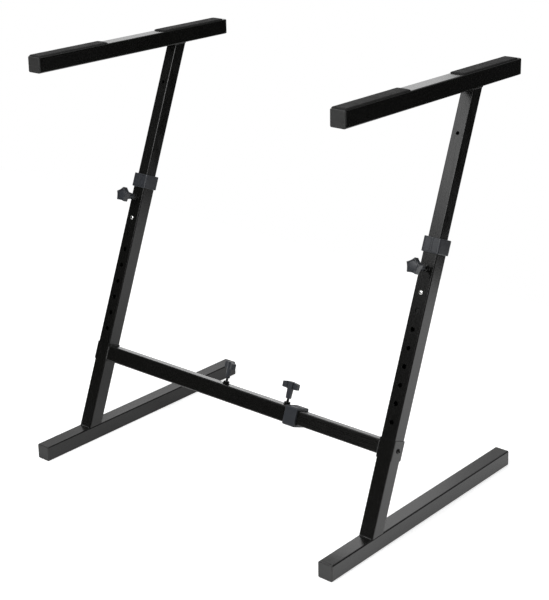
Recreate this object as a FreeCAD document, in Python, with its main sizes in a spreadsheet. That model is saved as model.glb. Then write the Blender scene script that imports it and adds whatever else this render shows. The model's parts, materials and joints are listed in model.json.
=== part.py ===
import FreeCAD, Part
import math
import os

import Sketcher
from FreeCAD import Placement, Rotation, Vector

# Z-shaped keyboard stand, in millimetres. +X runs along the crossbar from the left frame to the
# right one, +Y runs from the player to the back, +Z is up. The origin is on the floor, midway
# between the two feet. Each frame is a foot, a leaning leg tube and an arm on an inner tube that
# slides in the leg. The crossbar is two tubes that slide in each other.

doc = FreeCAD.newDocument("KeyboardStand")

# ---------------------------------------------------------------- driving dimensions

DRIVING = (
    ("outer_side", 35.0),         # square tube of foot, leg, arm and left crossbar half
    ("inner_side", 30.0),         # square tube that slides in the larger one
    ("wall", 1.5),                # steel thickness of both tubes
    ("outer_corner", 3.0),        # corner radius of the larger tube
    ("inner_corner", 2.5),        # corner radius of the smaller tube
    ("foot_length", 640.0),
    ("arm_length", 595.0),
    ("cap_flange", 4.0),          # thickness of an end cap outside its tube
    ("cap_insert", 16.0),         # depth of an end cap inside its tube
    ("cap_wall", 2.0),
    ("cap_bevel", 1.0),           # round the flange's outer face
    ("plug_flange", 3.0),         # the same for the glide plug of an inner tube's hidden end
    ("plug_insert", 14.0),
    ("fit_gap", 0.15),            # gap on each side of a sliding or pushed-in plastic piece
    ("cut_over", 1.0),            # how far a cut runs on past the walls that it goes through
    ("frame_spacing", 826.0),     # left leg axis to right leg axis
    ("leg_setback", 149.5),       # foot's front end to the leg axis, at the foot's top
    ("lean", 21.2),               # degrees that the legs lean back from upright
    ("leg_top", 600.0),           # top of the leg tube, along the leg from the foot's top
    ("arm_underside", 895.0),     # height of the arm's underside above the floor, fully raised
    ("inner_bottom", 452.0),      # lower end of the inner tube, along the leg, fully raised
    ("button_height", 497.0),     # snap button and top hole, along the leg
    ("hole_pitch", 38.1),
    ("hole_count", 8),
    ("hole_bore", 10.0),
    ("spare_hole_height", 824.0),
    ("spare_hole_bore", 8.0),
    ("clamp_height", 546.0),      # star knob, along the leg
    ("clamp_bore", 9.0),
    ("collar_side", 41.5),
    ("collar_length", 32.0),
    ("collar_lip", 2.5),          # end of the collar that closes in on the inner tube
    ("collar_rim", 3.0),          # length of each of the collar's two raised ends
    ("collar_relief", 0.6),       # how far the collar's waist is sunk below its rims
    ("collar_corner", 4.5),
    ("right_collar_lift", 8.0),   # the right collar is pushed less far down its tube
    ("bar_height", 175.5),        # crossbar axis, along the leg
    ("bar_joint", 178.0),         # X of the outer crossbar tube's open end
    ("bar_overlap", 344.0),       # length of inner crossbar tube hidden in the outer one
    ("sleeve_side", 39.0),
    ("sleeve_length", 41.0),
    ("sleeve_gap", 0.1),
    ("sleeve_corner", 4.5),
    ("bolt_shank", 6.0),
    ("bolt_hole", 6.6),
    ("bolt_head", 10.5),
    ("bolt_head_rise", 3.3),
    ("bolt_socket", 4.0),
    ("bolt_socket_depth", 2.0),
    ("bolt_reach", 12.0),         # from the sleeve's face to the bolt's end, inside the leg
    ("nut_across", 13.0),
    ("nut_rise", 6.5),
    ("small_nut_across", 10.0),
    ("small_nut_rise", 5.0),
    ("screw_gap", 0.05),          # radial gap of a screw in its nut
    ("tip_relief", 1.8),          # how much less a nylon tip measures across than its screw
    ("screw_cover", 6.0),         # plastic between a clamp screw's end and its knob's outer face
    ("star_screw", 8.0),
    ("wing_screw", 6.0),
    ("tip_rise", 2.45),           # nylon tip between a clamp screw and the inner tube
    ("star_reach", 52.5),         # star knob's outer face above the tube's face
    ("star_head", 15.0),
    ("star_across", 36.5),
    ("star_hub_start", 14.0),
    ("star_hub_end", 13.0),
    ("star_hub_root", 21.0),
    ("star_hub_step", 1.0),       # length of the hub's straight root
    ("star_hollow_depth", 5.5),   # how far a hollow bites in from the knob's rim
    ("star_hollow", 16.5),        # radius of the hollow between two lobes
    ("star_lobes", 5),
    ("wing_reach", 50.0),         # wing knob's top above the tube's face
    ("wing_span", 40.5),
    ("wing_depth", 11.0),
    ("wing_tip_lift", 1.3),       # how far the tips rise underneath, and half their drop on top
    ("wing_bevel", 1.5),
    ("wing_rise", 16.0),
    ("wing_flat", 14.6),          # length of the level stretch on top of the bar
    ("wing_hub_start", 13.5),
    ("wing_hub_end", 11.0),
    ("wing_hub_root", 14.0),
    ("end_wing_place", 136.0),    # X of the wing knob beside the crossbar's collar
    ("end_wing_twist", 0.0),
    ("middle_wing_place", -39.0),
    ("middle_wing_twist", 25.0),  # degrees that this knob has stopped short of the other
    ("button_bore", 9.4),
    ("button_proud", 2.2),        # how far the snap button stands out of the leg
    ("button_root", 1.0),         # how far the snap button reaches in behind the tube's wall
    ("spring_strip", 0.8),
    ("spring_width", 12.0),
    ("spring_foot", 16.0),        # from the button down to the strip's two ends
    ("spring_knee", 9.0),         # from the button up to where the strip leaves the walls
    ("spring_rise", 50.0),        # from the button up to the centre of the bend
    ("spring_bend", 4.0),         # radius of the bend
    ("pad_length", 200.0),
    ("pad_width", 33.0),
    ("pad_rise", 3.5),
    ("pad_shoulder", 1.6),        # bevel of the pad's top edges
    ("front_pad_start", -272.0),
    ("rear_pad_start", 107.0),
)

sheet = doc.addObject("Spreadsheet::Sheet", "Sizes")
for row, (alias, number) in enumerate(DRIVING, start=1):
    sheet.set("A%d" % row, alias)
    sheet.set("B%d" % row, str(number))
    sheet.setAlias("B%d" % row, alias)
doc.recompute()


class Size:
    """A length that carries its number and its formula in the sheet's cells."""

    def __init__(self, number, formula):
        self.number = number
        self.formula = formula

    @staticmethod
    def of(thing):
        return thing if isinstance(thing, Size) else Size(float(thing), repr(float(thing)))

    def joined(self, sign, other, number):
        return Size(number, "(%s %s %s)" % (self.formula, sign, other.formula))

    def __add__(self, other):
        other = Size.of(other)
        return self.joined("+", other, self.number + other.number)

    def __sub__(self, other):
        other = Size.of(other)
        return self.joined("-", other, self.number - other.number)

    def __mul__(self, other):
        other = Size.of(other)
        return self.joined("*", other, self.number * other.number)

    def __truediv__(self, other):
        other = Size.of(other)
        return self.joined("/", other, self.number / other.number)

    def __neg__(self):
        return Size(0.0, "0.0").__sub__(self)


def cell(alias):
    return Size(float(sheet.get(alias)), "Sizes." + alias)


SIZE = {alias: cell(alias) for alias, _ in DRIVING}


def length(alias):
    """The plain number in one of the sheet's cells."""
    return SIZE[alias].number


# ---------------------------------------------------------------- directions and places

LEAN = math.radians(length("lean"))
ACROSS = Vector(1, 0, 0)
BACK = Vector(0, 1, 0)
UP = Vector(0, 0, 1)
ALONG_LEG = Vector(0, math.sin(LEAN), math.cos(LEAN))
OUT_FRONT = Vector(0, -math.cos(LEAN), math.sin(LEAN))

LEFT, RIGHT = -1, 1
SIDES = (("left", LEFT), ("right", RIGHT))


def turned(along, sideways):
    """The rotation that takes a piece's own Z to along and its own X to sideways."""
    return Rotation(sideways, along.cross(sideways), along, "ZXY")


def leg_base(side):
    """Where a leg's axis meets the top of its foot."""
    back = length("leg_setback") - length("foot_length") / 2
    return Vector(side * length("frame_spacing") / 2, back, length("outer_side"))


def on_leg(side, height, proud=0.0):
    """A point at a height along a leg and standing proud of its axis towards the player."""
    return leg_base(side) + ALONG_LEG * height + OUT_FRONT * proud


def on_bar(across, proud=0.0):
    """A point on the crossbar's axis, or standing proud of it along the leg's direction."""
    middle = on_leg(LEFT, length("bar_height") + proud)
    return Vector(across, middle.y, middle.z)


LEG_TURN = turned(ALONG_LEG, ACROSS)
FOOT_TURN = turned(BACK, ACROSS)
BAR_TURN = turned(ACROSS, OUT_FRONT)
STAR_TURN = turned(OUT_FRONT, ACROSS)
STAR_KNOB_TURN = turned(OUT_FRONT, -ACROSS)
WING_TURN = turned(ALONG_LEG, ACROSS)

# ---------------------------------------------------------------- sketch and feature helpers

pieces = []


def new_body(label, place, turn):
    body = doc.addObject("PartDesign::Body", label)
    body.Label = label
    body.Placement = Placement(place, turn)
    pieces.append(body)
    return body


def sketch_on(body, role, height=None):
    """A sketch on one of the body's own planes, or a height above it."""
    plane = next(f for f in body.Origin.OriginFeatures if f.Role == role)
    sketch = body.newObject("Sketcher::SketchObject", body.Name + "_sketch")
    sketch.AttachmentSupport = [(plane, "")]
    sketch.MapMode = "FlatFace"
    if height is not None:
        height = Size.of(height)
        sketch.AttachmentOffset = Placement(Vector(0, 0, height.number), Rotation())
        sketch.setExpression("AttachmentOffset.Base.z", height.formula)
    return sketch


def hold(sketch, constraint, size):
    """Adds a dimension to a sketch and ties it to the sheet."""
    size = Size.of(size)
    index = sketch.addConstraint(constraint(size.number))
    sketch.setExpression("Constraints[%d]" % index, size.formula)


def add_rounded_square(sketch, side, corner):
    """A square about the sketch's origin with round corners."""
    half = side / 2
    near = half.number - corner.number
    far = half.number
    lines, arcs = [], []
    for quarter in range(4):
        turn = Rotation(UP, 90 * quarter)
        start, end = turn.multVec(Vector(-near, -far, 0)), turn.multVec(Vector(near, -far, 0))
        lines.append(sketch.addGeometry(Part.LineSegment(start, end), False))
    for quarter in range(4):
        first = math.radians(90 * quarter - 90)
        centre = Rotation(UP, 90 * quarter).multVec(Vector(near, -near, 0))
        circle = Part.Circle(centre, UP, corner.number)
        arcs.append(sketch.addGeometry(Part.ArcOfCircle(circle, first, first + math.pi / 2), False))
    for quarter in range(4):
        following = (quarter + 1) % 4
        sketch.addConstraint(Sketcher.Constraint("Tangent", lines[quarter], 2, arcs[quarter], 1))
        sketch.addConstraint(Sketcher.Constraint("Tangent", arcs[quarter], 2, lines[following], 1))
    for level in (0, 2):
        sketch.addConstraint(Sketcher.Constraint("Horizontal", lines[level]))
    for upright in (1, 3):
        sketch.addConstraint(Sketcher.Constraint("Vertical", lines[upright]))
    for other in arcs[1:3]:
        sketch.addConstraint(Sketcher.Constraint("Equal", arcs[0], other))
    hold(sketch, lambda v: Sketcher.Constraint("Radius", arcs[0], v), corner)
    hold(sketch, lambda v: Sketcher.Constraint("DistanceY", lines[0], 2, -1, 1, v), half)
    hold(sketch, lambda v: Sketcher.Constraint("DistanceY", -1, 1, lines[2], 2, v), half)
    hold(sketch, lambda v: Sketcher.Constraint("DistanceX", -1, 1, lines[1], 2, v), half)
    hold(sketch, lambda v: Sketcher.Constraint("DistanceX", lines[3], 2, -1, 1, v), half)


def add_bevelled_square(sketch, side, corner):
    """A square whose four corners are flats, each cut as deep as a round corner of that radius."""
    half = side / 2
    near = half - corner * (2 - math.sqrt(2))
    outline = (
        (-near, -half),
        (near, -half),
        (half, -near),
        (half, near),
        (near, half),
        (-near, half),
        (-half, near),
        (-half, -near),
    )
    add_outline(sketch, outline)


def add_square(sketch, side):
    """A square about the sketch's origin with sharp corners."""
    half = side / 2
    add_outline(sketch, ((-half, -half), (half, -half), (half, half), (-half, half)))


def add_circle(sketch, across, up, diameter):
    """A circle at a place in the sketch."""
    across, up, diameter = Size.of(across), Size.of(up), Size.of(diameter)
    centre = Vector(across.number, up.number, 0)
    circle = sketch.addGeometry(Part.Circle(centre, UP, diameter.number / 2), False)
    hold(sketch, lambda v: Sketcher.Constraint("Diameter", circle, v), diameter)
    hold(sketch, lambda v: Sketcher.Constraint("DistanceX", -1, 1, circle, 3, v), across)
    hold(sketch, lambda v: Sketcher.Constraint("DistanceY", -1, 1, circle, 3, v), up)


def add_outline(sketch, corners):
    """A closed outline of straight lines through corners given as pairs of sizes."""
    corners = [(Size.of(x), Size.of(y)) for x, y in corners]
    spots = [Vector(x.number, y.number, 0) for x, y in corners]
    lines = [
        sketch.addGeometry(Part.LineSegment(start, end), False)
        for start, end in zip(spots, spots[1:] + spots[:1])
    ]
    for line, following in zip(lines, lines[1:] + lines[:1]):
        sketch.addConstraint(Sketcher.Constraint("Coincident", line, 2, following, 1))
    for line, (x, y) in zip(lines, corners):
        hold(sketch, lambda v, g=line: Sketcher.Constraint("DistanceX", -1, 1, g, 1, v), x)
        hold(sketch, lambda v, g=line: Sketcher.Constraint("DistanceY", -1, 1, g, 1, v), y)


def add_hexagon(sketch, across):
    """A hexagon about the sketch's origin, given by its width across flats."""
    rim = across.number / math.sqrt(3)
    spots = [Rotation(UP, 60 * corner).multVec(Vector(rim, 0, 0)) for corner in range(6)]
    lines = [
        sketch.addGeometry(Part.LineSegment(start, end), False)
        for start, end in zip(spots, spots[1:] + spots[:1])
    ]
    guide = sketch.addGeometry(Part.Circle(Vector(), UP, rim), True)
    sketch.addConstraint(Sketcher.Constraint("Coincident", guide, 3, -1, 1))
    for line, following in zip(lines, lines[1:] + lines[:1]):
        sketch.addConstraint(Sketcher.Constraint("Coincident", line, 2, following, 1))
        sketch.addConstraint(Sketcher.Constraint("PointOnObject", line, 1, guide))
    for line in lines[1:]:
        sketch.addConstraint(Sketcher.Constraint("Equal", lines[0], line))
    sketch.addConstraint(Sketcher.Constraint("PointOnObject", lines[0], 1, -1))
    hold(sketch, lambda v: Sketcher.Constraint("Diameter", guide, v), across * (2 / math.sqrt(3)))


def pad(body, sketch, rise, middle=False, downward=False):
    feature = body.newObject("PartDesign::Pad", body.Name + "_pad")
    feature.Profile = sketch
    feature.Length = Size.of(rise).number
    feature.setExpression("Length", Size.of(rise).formula)
    feature.Midplane = middle
    feature.Reversed = downward
    return settled(body, feature)


def pocket(body, sketch, depth, middle=False, outward=False):
    """Cuts a sketch into the solid. outward cuts along the sketch's normal instead of against it."""
    before = body.Shape.Volume
    feature = body.newObject("PartDesign::Pocket", body.Name + "_pocket")
    feature.Profile = sketch
    feature.Length = Size.of(depth).number
    feature.setExpression("Length", Size.of(depth).formula)
    feature.Midplane = middle
    feature.Reversed = outward
    settled(body, feature)
    if body.Shape.Volume > before - 0.01:
        raise RuntimeError("nothing was cut from " + body.Label)
    return feature


def settled(body, feature):
    body.Tip = feature
    doc.recompute()
    return feature


def dress_edges(body, kind, property_name, size, chosen):
    """Fillets or chamfers the edges of the body's last feature that the test picks."""
    names = ["Edge%d" % n for n, edge in enumerate(body.Tip.Shape.Edges, start=1) if chosen(edge)]
    base = body.Tip
    feature = body.newObject("PartDesign::" + kind, body.Name + "_" + kind.lower())
    feature.Base = (base, names)
    setattr(feature, property_name, size.number)
    feature.setExpression(property_name, size.formula)
    return settled(body, feature)


def bevel_edges(body, size, chosen):
    return dress_edges(body, "Chamfer", "Size", Size.of(size), chosen)


def pattern_along(body, feature, run, count):
    """Repeats a feature upwards along the body's own Z."""
    axis = next(f for f in body.Origin.OriginFeatures if f.Role == "Z_Axis")
    repeat = body.newObject("PartDesign::LinearPattern", body.Name + "_pattern")
    repeat.Originals = [feature]
    repeat.Direction = (axis, [""])
    repeat.Length = run.number
    repeat.setExpression("Length", run.formula)
    repeat.Occurrences = int(count.number)
    return settled(body, repeat)


def pattern_around(body, feature, count):
    """Repeats a feature evenly about the body's own Z."""
    axis = next(f for f in body.Origin.OriginFeatures if f.Role == "Z_Axis")
    repeat = body.newObject("PartDesign::PolarPattern", body.Name + "_polar")
    repeat.Originals = [feature]
    repeat.Axis = (axis, [""])
    repeat.Angle = 360.0
    repeat.Occurrences = count
    return settled(body, repeat)


def is_level_at(edge, height):
    """Whether an edge lies wholly at a height in the body's own frame."""
    box = edge.BoundBox
    return abs(box.ZMin - height) < 0.01 and abs(box.ZMax - height) < 0.01


# ---------------------------------------------------------------- square steel tubes

OUTER = ("outer_side", "outer_corner")
INNER = ("inner_side", "inner_corner")


def square_tube(label, stock, start, run, place, turn):
    """A square tube along its own Z. Its outer corners are round, and its bore's corners sharp."""
    side, corner = SIZE[stock[0]], SIZE[stock[1]]
    body = new_body(label, place, turn)
    sketch = sketch_on(body, "XY_Plane", start)
    add_rounded_square(sketch, side, corner)
    add_square(sketch, side - SIZE["wall"] * 2)
    pad(body, sketch, run)
    return body


def drill_face(body, side, height, bore):
    """Drills the wall towards the body's own -Y."""
    sketch = sketch_on(body, "XZ_Plane")
    add_circle(sketch, 0, height, bore)
    return pocket(body, sketch, side / 2 + SIZE["cut_over"], outward=True)


def drill_side(body, side, height, bore, outer):
    """Drills the wall towards the body's own +X, or towards its -X where outer is LEFT."""
    sketch = sketch_on(body, "YZ_Plane")
    add_circle(sketch, 0, height, bore)
    return pocket(body, sketch, side / 2 + SIZE["cut_over"], outward=outer == RIGHT)


def mitre(body, side, height, above):
    """Cuts a leaning tube level, at a height above the foot's top measured along the leg."""
    reach = side / 2 + SIZE["cut_over"]
    slope = math.tan(LEAN)
    front = height - reach * slope
    back = height + reach * slope
    waste = (height + reach * 2) if above else (height - reach * 2)
    sketch = sketch_on(body, "YZ_Plane")
    add_outline(sketch, ((-reach, front), (reach, back), (reach, waste), (-reach, waste)))
    pocket(body, sketch, side + SIZE["cut_over"] * 2, middle=True)


def make_foot_tube(name, side):
    run = SIZE["foot_length"] - SIZE["cap_flange"] * 2
    place = Vector(leg_base(side).x, 0, length("outer_side") / 2)
    square_tube(name + "_foot_tube", OUTER, -(run / 2), run, place, FOOT_TURN)


def make_leg_tube(name, side):
    start = -SIZE["outer_side"] / 2
    body = square_tube(name + "_leg_tube", OUTER, start, SIZE["leg_top"] - start, leg_base(side), LEG_TURN)
    mitre(body, SIZE["outer_side"], Size.of(0), above=False)
    drill_side(body, SIZE["outer_side"], SIZE["bar_height"], SIZE["bolt_hole"], side)
    drill_face(body, SIZE["outer_side"], SIZE["clamp_height"], SIZE["clamp_bore"])
    run = SIZE["hole_pitch"] * (SIZE["hole_count"] - 1)
    lowest = drill_face(body, SIZE["outer_side"], SIZE["button_height"] - run, SIZE["hole_bore"])
    pattern_along(body, lowest, run, SIZE["hole_count"])


def make_inner_tube(name, side):
    """The inner tube rises out of the leg, and its level-cut top is welded under the arm."""
    rise = (SIZE["arm_underside"] - SIZE["outer_side"]) / math.cos(LEAN)
    run = rise + SIZE["inner_side"] - SIZE["inner_bottom"]
    body = square_tube(name + "_inner_tube", INNER, SIZE["inner_bottom"], run, leg_base(side), LEG_TURN)
    mitre(body, SIZE["inner_side"], rise, above=True)
    drill_face(body, SIZE["inner_side"], SIZE["button_height"], SIZE["hole_bore"])
    drill_face(body, SIZE["inner_side"], SIZE["spare_hole_height"], SIZE["spare_hole_bore"])


def arm_middle(side):
    back_end = length("foot_length") / 2
    height = length("arm_underside") + length("outer_side") / 2
    return Vector(leg_base(side).x, back_end - length("arm_length") / 2, height)


def make_arm_tube(name, side):
    run = SIZE["arm_length"] - SIZE["cap_flange"] * 2
    square_tube(name + "_arm_tube", OUTER, -(run / 2), run, arm_middle(side), FOOT_TURN)


def make_crossbar_tubes():
    sleeve_face = (SIZE["frame_spacing"] - SIZE["sleeve_side"]) / 2
    outer = square_tube(
        "crossbar_outer_tube", OUTER, -sleeve_face, sleeve_face + SIZE["bar_joint"], on_bar(0), BAR_TURN
    )
    for place in ("end_wing_place", "middle_wing_place"):
        drill_face(outer, SIZE["outer_side"], SIZE[place], SIZE["clamp_bore"])
    start = SIZE["bar_joint"] - SIZE["bar_overlap"]
    square_tube("crossbar_inner_tube", INNER, start, sleeve_face - start, on_bar(0), BAR_TURN)


# ---------------------------------------------------------------- plastic end pieces


def hollow_insert(body, bore, depth):
    """The hollow square boss that holds a cap in its tube, from its own Z = 0 downwards."""
    side = bore - SIZE["fit_gap"] * 2
    boss = sketch_on(body, "XY_Plane")
    add_square(boss, side)
    pad(body, boss, depth, downward=True)
    hollow = sketch_on(body, "XY_Plane", -depth)
    add_square(hollow, side - SIZE["cap_wall"] * 2)
    pocket(body, hollow, depth, outward=True)


def make_end_cap(label, place, turn):
    """A cap whose flange covers the tube's end and whose hollow insert fits in its bore."""
    body = new_body(label, place, turn)
    flange = sketch_on(body, "XY_Plane")
    add_bevelled_square(flange, SIZE["outer_side"], SIZE["outer_corner"])
    pad(body, flange, SIZE["cap_flange"])
    bevel_edges(body, SIZE["cap_bevel"], lambda edge: is_level_at(edge, length("cap_flange")))
    hollow_insert(body, SIZE["outer_side"] - SIZE["wall"] * 2, SIZE["cap_insert"])


def make_glide_plug(label, place, turn):
    """A plug in the hidden end of an inner tube, whose wider flange glides in the outer tube."""
    body = new_body(label, place, turn)
    flange = sketch_on(body, "XY_Plane")
    add_square(flange, SIZE["outer_side"] - SIZE["wall"] * 2 - SIZE["fit_gap"] * 2)
    pad(body, flange, SIZE["plug_flange"])
    hollow_insert(body, SIZE["inner_side"] - SIZE["wall"] * 2, SIZE["plug_insert"])


def make_caps(name, side):
    foot_half = length("foot_length") / 2 - length("cap_flange")
    foot_end = Vector(leg_base(side).x, foot_half, length("outer_side") / 2)
    arm_half = BACK * (length("arm_length") / 2 - length("cap_flange"))
    forward = turned(-BACK, ACROSS)
    make_end_cap(name + "_foot_rear_cap", foot_end, FOOT_TURN)
    make_end_cap(name + "_foot_front_cap", Vector(foot_end.x, -foot_end.y, foot_end.z), forward)
    make_end_cap(name + "_arm_rear_cap", arm_middle(side) + arm_half, FOOT_TURN)
    make_end_cap(name + "_arm_front_cap", arm_middle(side) - arm_half, forward)
    make_glide_plug(name + "_inner_plug", on_leg(side, length("inner_bottom")), turned(-ALONG_LEG, ACROSS))


def make_collar(label, place, turn):
    """The plastic bush on a tube's open end: two rims, a sunk waist, and a lip round the inner tube."""
    body = new_body(label, place, turn)
    run, rim = SIZE["collar_length"], SIZE["collar_rim"]
    waist = sketch_on(body, "XY_Plane")
    add_bevelled_square(waist, SIZE["collar_side"] - SIZE["collar_relief"] * 2, SIZE["collar_corner"])
    pad(body, waist, run)
    for start in (Size.of(0), run - rim):
        band = sketch_on(body, "XY_Plane", start)
        add_bevelled_square(band, SIZE["collar_side"], SIZE["collar_corner"])
        pad(body, band, rim)
    rib = sketch_on(body, "XZ_Plane", SIZE["collar_side"] / 2)
    half = rim / 2
    add_outline(rib, ((-half, half), (half, half), (half, run - half), (-half, run - half)))
    pad(body, rib, SIZE["collar_relief"] * 2, downward=True)
    opening = sketch_on(body, "XY_Plane")
    add_square(opening, SIZE["inner_side"] + SIZE["fit_gap"] * 2)
    pocket(body, opening, run + SIZE["cut_over"], outward=True)
    seat = sketch_on(body, "XY_Plane")
    add_square(seat, SIZE["outer_side"] + SIZE["sleeve_gap"])
    pocket(body, seat, run - SIZE["collar_lip"], outward=True)


def make_collars():
    below = length("collar_length") - length("collar_lip")
    for name, side in SIDES:
        lift = length("right_collar_lift") if side == RIGHT else 0.0
        make_collar(name + "_collar", on_leg(side, length("leg_top") - below + lift), LEG_TURN)
    make_collar("crossbar_collar", on_bar(length("bar_joint") - below), BAR_TURN)


# ---------------------------------------------------------------- sleeves, bolts and nuts


def make_sleeve(name, side):
    """The short square ring round the leg that the crossbar is welded to."""
    place = on_leg(side, length("bar_height") - length("sleeve_length") / 2)
    body = new_body(name + "_sleeve", place, LEG_TURN)
    sketch = sketch_on(body, "XY_Plane")
    add_rounded_square(sketch, SIZE["sleeve_side"], SIZE["sleeve_corner"])
    add_square(sketch, SIZE["outer_side"] + SIZE["sleeve_gap"] * 2)
    pad(body, sketch, SIZE["sleeve_length"])
    drill_side(body, SIZE["sleeve_side"], SIZE["sleeve_length"] / 2, SIZE["bolt_hole"], side)


def make_sleeve_bolt(name, side):
    """A socket bolt through the outer walls of sleeve and leg."""
    outward = ACROSS * side
    place = on_leg(side, length("bar_height")) + outward * (length("sleeve_side") / 2)
    body = new_body(name + "_sleeve_bolt", place, turned(outward, ALONG_LEG))
    rise = SIZE["bolt_head_rise"]
    head = sketch_on(body, "XY_Plane")
    add_circle(head, 0, 0, SIZE["bolt_head"])
    pad(body, head, rise)
    shank = sketch_on(body, "XY_Plane")
    add_circle(shank, 0, 0, SIZE["bolt_shank"])
    pad(body, shank, SIZE["bolt_reach"], downward=True)
    socket = sketch_on(body, "XY_Plane", rise)
    add_hexagon(socket, SIZE["bolt_socket"])
    pocket(body, socket, SIZE["bolt_socket_depth"])


def make_nut(label, across, rise, bore, place, turn):
    """A hexagon nut standing on the face that it is welded to."""
    body = new_body(label, place, turn)
    sketch = sketch_on(body, "XY_Plane")
    add_hexagon(sketch, across)
    add_circle(sketch, 0, 0, bore)
    pad(body, sketch, rise)


def make_nuts():
    face = length("outer_side") / 2
    star_bore = SIZE["star_screw"] + SIZE["screw_gap"] * 2
    wing_bore = SIZE["wing_screw"] + SIZE["screw_gap"] * 2
    for name, side in SIDES:
        place = on_leg(side, length("clamp_height"), face)
        make_nut(name + "_height_nut", SIZE["nut_across"], SIZE["nut_rise"], star_bore, place, STAR_TURN)
        bore_wall = ACROSS * (side * (face - length("wall")))
        in_leg = on_leg(side, length("bar_height")) + bore_wall
        small = (SIZE["small_nut_across"], SIZE["small_nut_rise"], wing_bore)
        make_nut(name + "_sleeve_nut", *small, in_leg, turned(ACROSS * -side, OUT_FRONT))
    for name in ("end", "middle"):
        place = on_bar(length(name + "_wing_place"), face)
        make_nut(name + "_width_nut", SIZE["nut_across"], SIZE["nut_rise"], wing_bore, place, WING_TURN)


# ---------------------------------------------------------------- clamp screws and knobs


def make_clamp_tip(label, screw, place, turn):
    """The hexagon of nylon that a clamp screw presses on the inner tube."""
    inner_face = (SIZE["inner_side"] - SIZE["outer_side"]) / 2
    body = new_body(label, place, turn)
    sketch = sketch_on(body, "XY_Plane", inner_face + SIZE["screw_gap"])
    add_hexagon(sketch, screw - SIZE["tip_relief"])
    pad(body, sketch, SIZE["tip_rise"])


def make_clamp_screw(label, screw, reach, place, turn):
    """A threaded stud from the nylon tip up into its knob."""
    start = (SIZE["inner_side"] - SIZE["outer_side"]) / 2 + SIZE["screw_gap"] + SIZE["tip_rise"]
    body = new_body(label, place, turn)
    sketch = sketch_on(body, "XY_Plane", start)
    add_circle(sketch, 0, 0, screw)
    pad(body, sketch, reach - start)


def bore_for_screw(body, screw, start, reach):
    """The blind bore that a clamp screw is moulded into."""
    bore = sketch_on(body, "XY_Plane", start)
    add_circle(bore, 0, 0, screw + SIZE["screw_gap"])
    pocket(body, bore, reach - start, outward=True)


def add_hub(body, start, end, root_height, root):
    """An eight-sided hub that narrows from the knob's head to its free end."""
    spots = [Rotation(UP, 45 * corner).multVec(ACROSS) for corner in range(8)]
    sketch = sketch_on(body, "XY_Plane", start)
    add_outline(sketch, [(root / 2 * spot.x, root / 2 * spot.y) for spot in spots])
    pad(body, sketch, root_height - start)
    taper = bevel_edges(body, (root - end) / 2, lambda edge: is_level_at(edge, start.number))
    run = root_height - start - SIZE["star_hub_step"]
    taper.ChamferType = "Two distances"
    taper.FlipDirection = True
    taper.Size2 = run.number
    taper.setExpression("Size2", run.formula)
    settled(body, taper)


def make_star_knob(label, place):
    """A knob of five round lobes on a tapered hub."""
    body = new_body(label, place, STAR_KNOB_TURN)
    start, reach, head = SIZE["star_hub_start"], SIZE["star_reach"], SIZE["star_head"]
    base = reach - head
    add_hub(body, start, SIZE["star_hub_end"], base, SIZE["star_hub_root"])
    disc = sketch_on(body, "XY_Plane", base)
    add_circle(disc, 0, 0, SIZE["star_across"])
    pad(body, disc, head)
    hollow = sketch_on(body, "XY_Plane", base)
    outside = SIZE["star_across"] / 2 + SIZE["star_hollow"] - SIZE["star_hollow_depth"]
    add_circle(hollow, outside, 0, SIZE["star_hollow"] * 2)
    first = pocket(body, hollow, head, outward=True)
    pattern_around(body, first, int(length("star_lobes")))
    bore_for_screw(body, SIZE["star_screw"], start, reach - SIZE["screw_cover"])


def is_on_a_face(edge, depth):
    """Whether an edge lies wholly in a face that stands off the body's own XZ plane."""
    box = edge.BoundBox
    return box.YLength < 0.01 and abs(abs(box.YMin) - depth) < 0.01


def make_wing_knob(label, place, twist):
    """A flat wing knob: a cross bar with an arched top on a tapered hub, stopped at its own angle."""
    twist = math.radians(twist)
    sideways = ACROSS * math.cos(twist) + OUT_FRONT * math.sin(twist)
    body = new_body(label, place, turned(ALONG_LEG, sideways))
    start, reach, span = SIZE["wing_hub_start"], SIZE["wing_reach"], SIZE["wing_span"] / 2
    end, root, flat = SIZE["wing_hub_end"] / 2, SIZE["wing_hub_root"] / 2, SIZE["wing_flat"] / 2
    base, lift = reach - SIZE["wing_rise"], SIZE["wing_tip_lift"]
    profile = sketch_on(body, "XZ_Plane")
    outline = (
        (-end, start),
        (end, start),
        (root, base),
        (span, base + lift),
        (span, reach - lift * 2),
        (flat, reach),
        (-flat, reach),
        (-span, reach - lift * 2),
        (-span, base + lift),
        (-root, base),
    )
    add_outline(profile, outline)
    pad(body, profile, SIZE["wing_depth"], middle=True)
    half_depth = length("wing_depth") / 2
    bevel_edges(body, SIZE["wing_bevel"], lambda edge: is_on_a_face(edge, half_depth))
    bore_for_screw(body, SIZE["wing_screw"], start, reach - SIZE["screw_cover"])


def make_clamps():
    face = length("outer_side") / 2
    for name, side in SIDES:
        place = on_leg(side, length("clamp_height"), face)
        make_clamp_tip(name + "_height_tip", SIZE["star_screw"], place, STAR_TURN)
        screw_reach = SIZE["star_reach"] - SIZE["screw_cover"]
        make_clamp_screw(name + "_height_screw", SIZE["star_screw"], screw_reach, place, STAR_TURN)
        make_star_knob(name + "_star_knob", place)
    for name in ("end", "middle"):
        place = on_bar(length(name + "_wing_place"), face)
        make_clamp_tip(name + "_width_tip", SIZE["wing_screw"], place, WING_TURN)
        screw_reach = SIZE["wing_reach"] - SIZE["screw_cover"]
        make_clamp_screw(name + "_width_screw", SIZE["wing_screw"], screw_reach, place, WING_TURN)
        make_wing_knob(name + "_wing_knob", place, length(name + "_wing_twist"))


# ---------------------------------------------------------------- snap buttons


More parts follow.
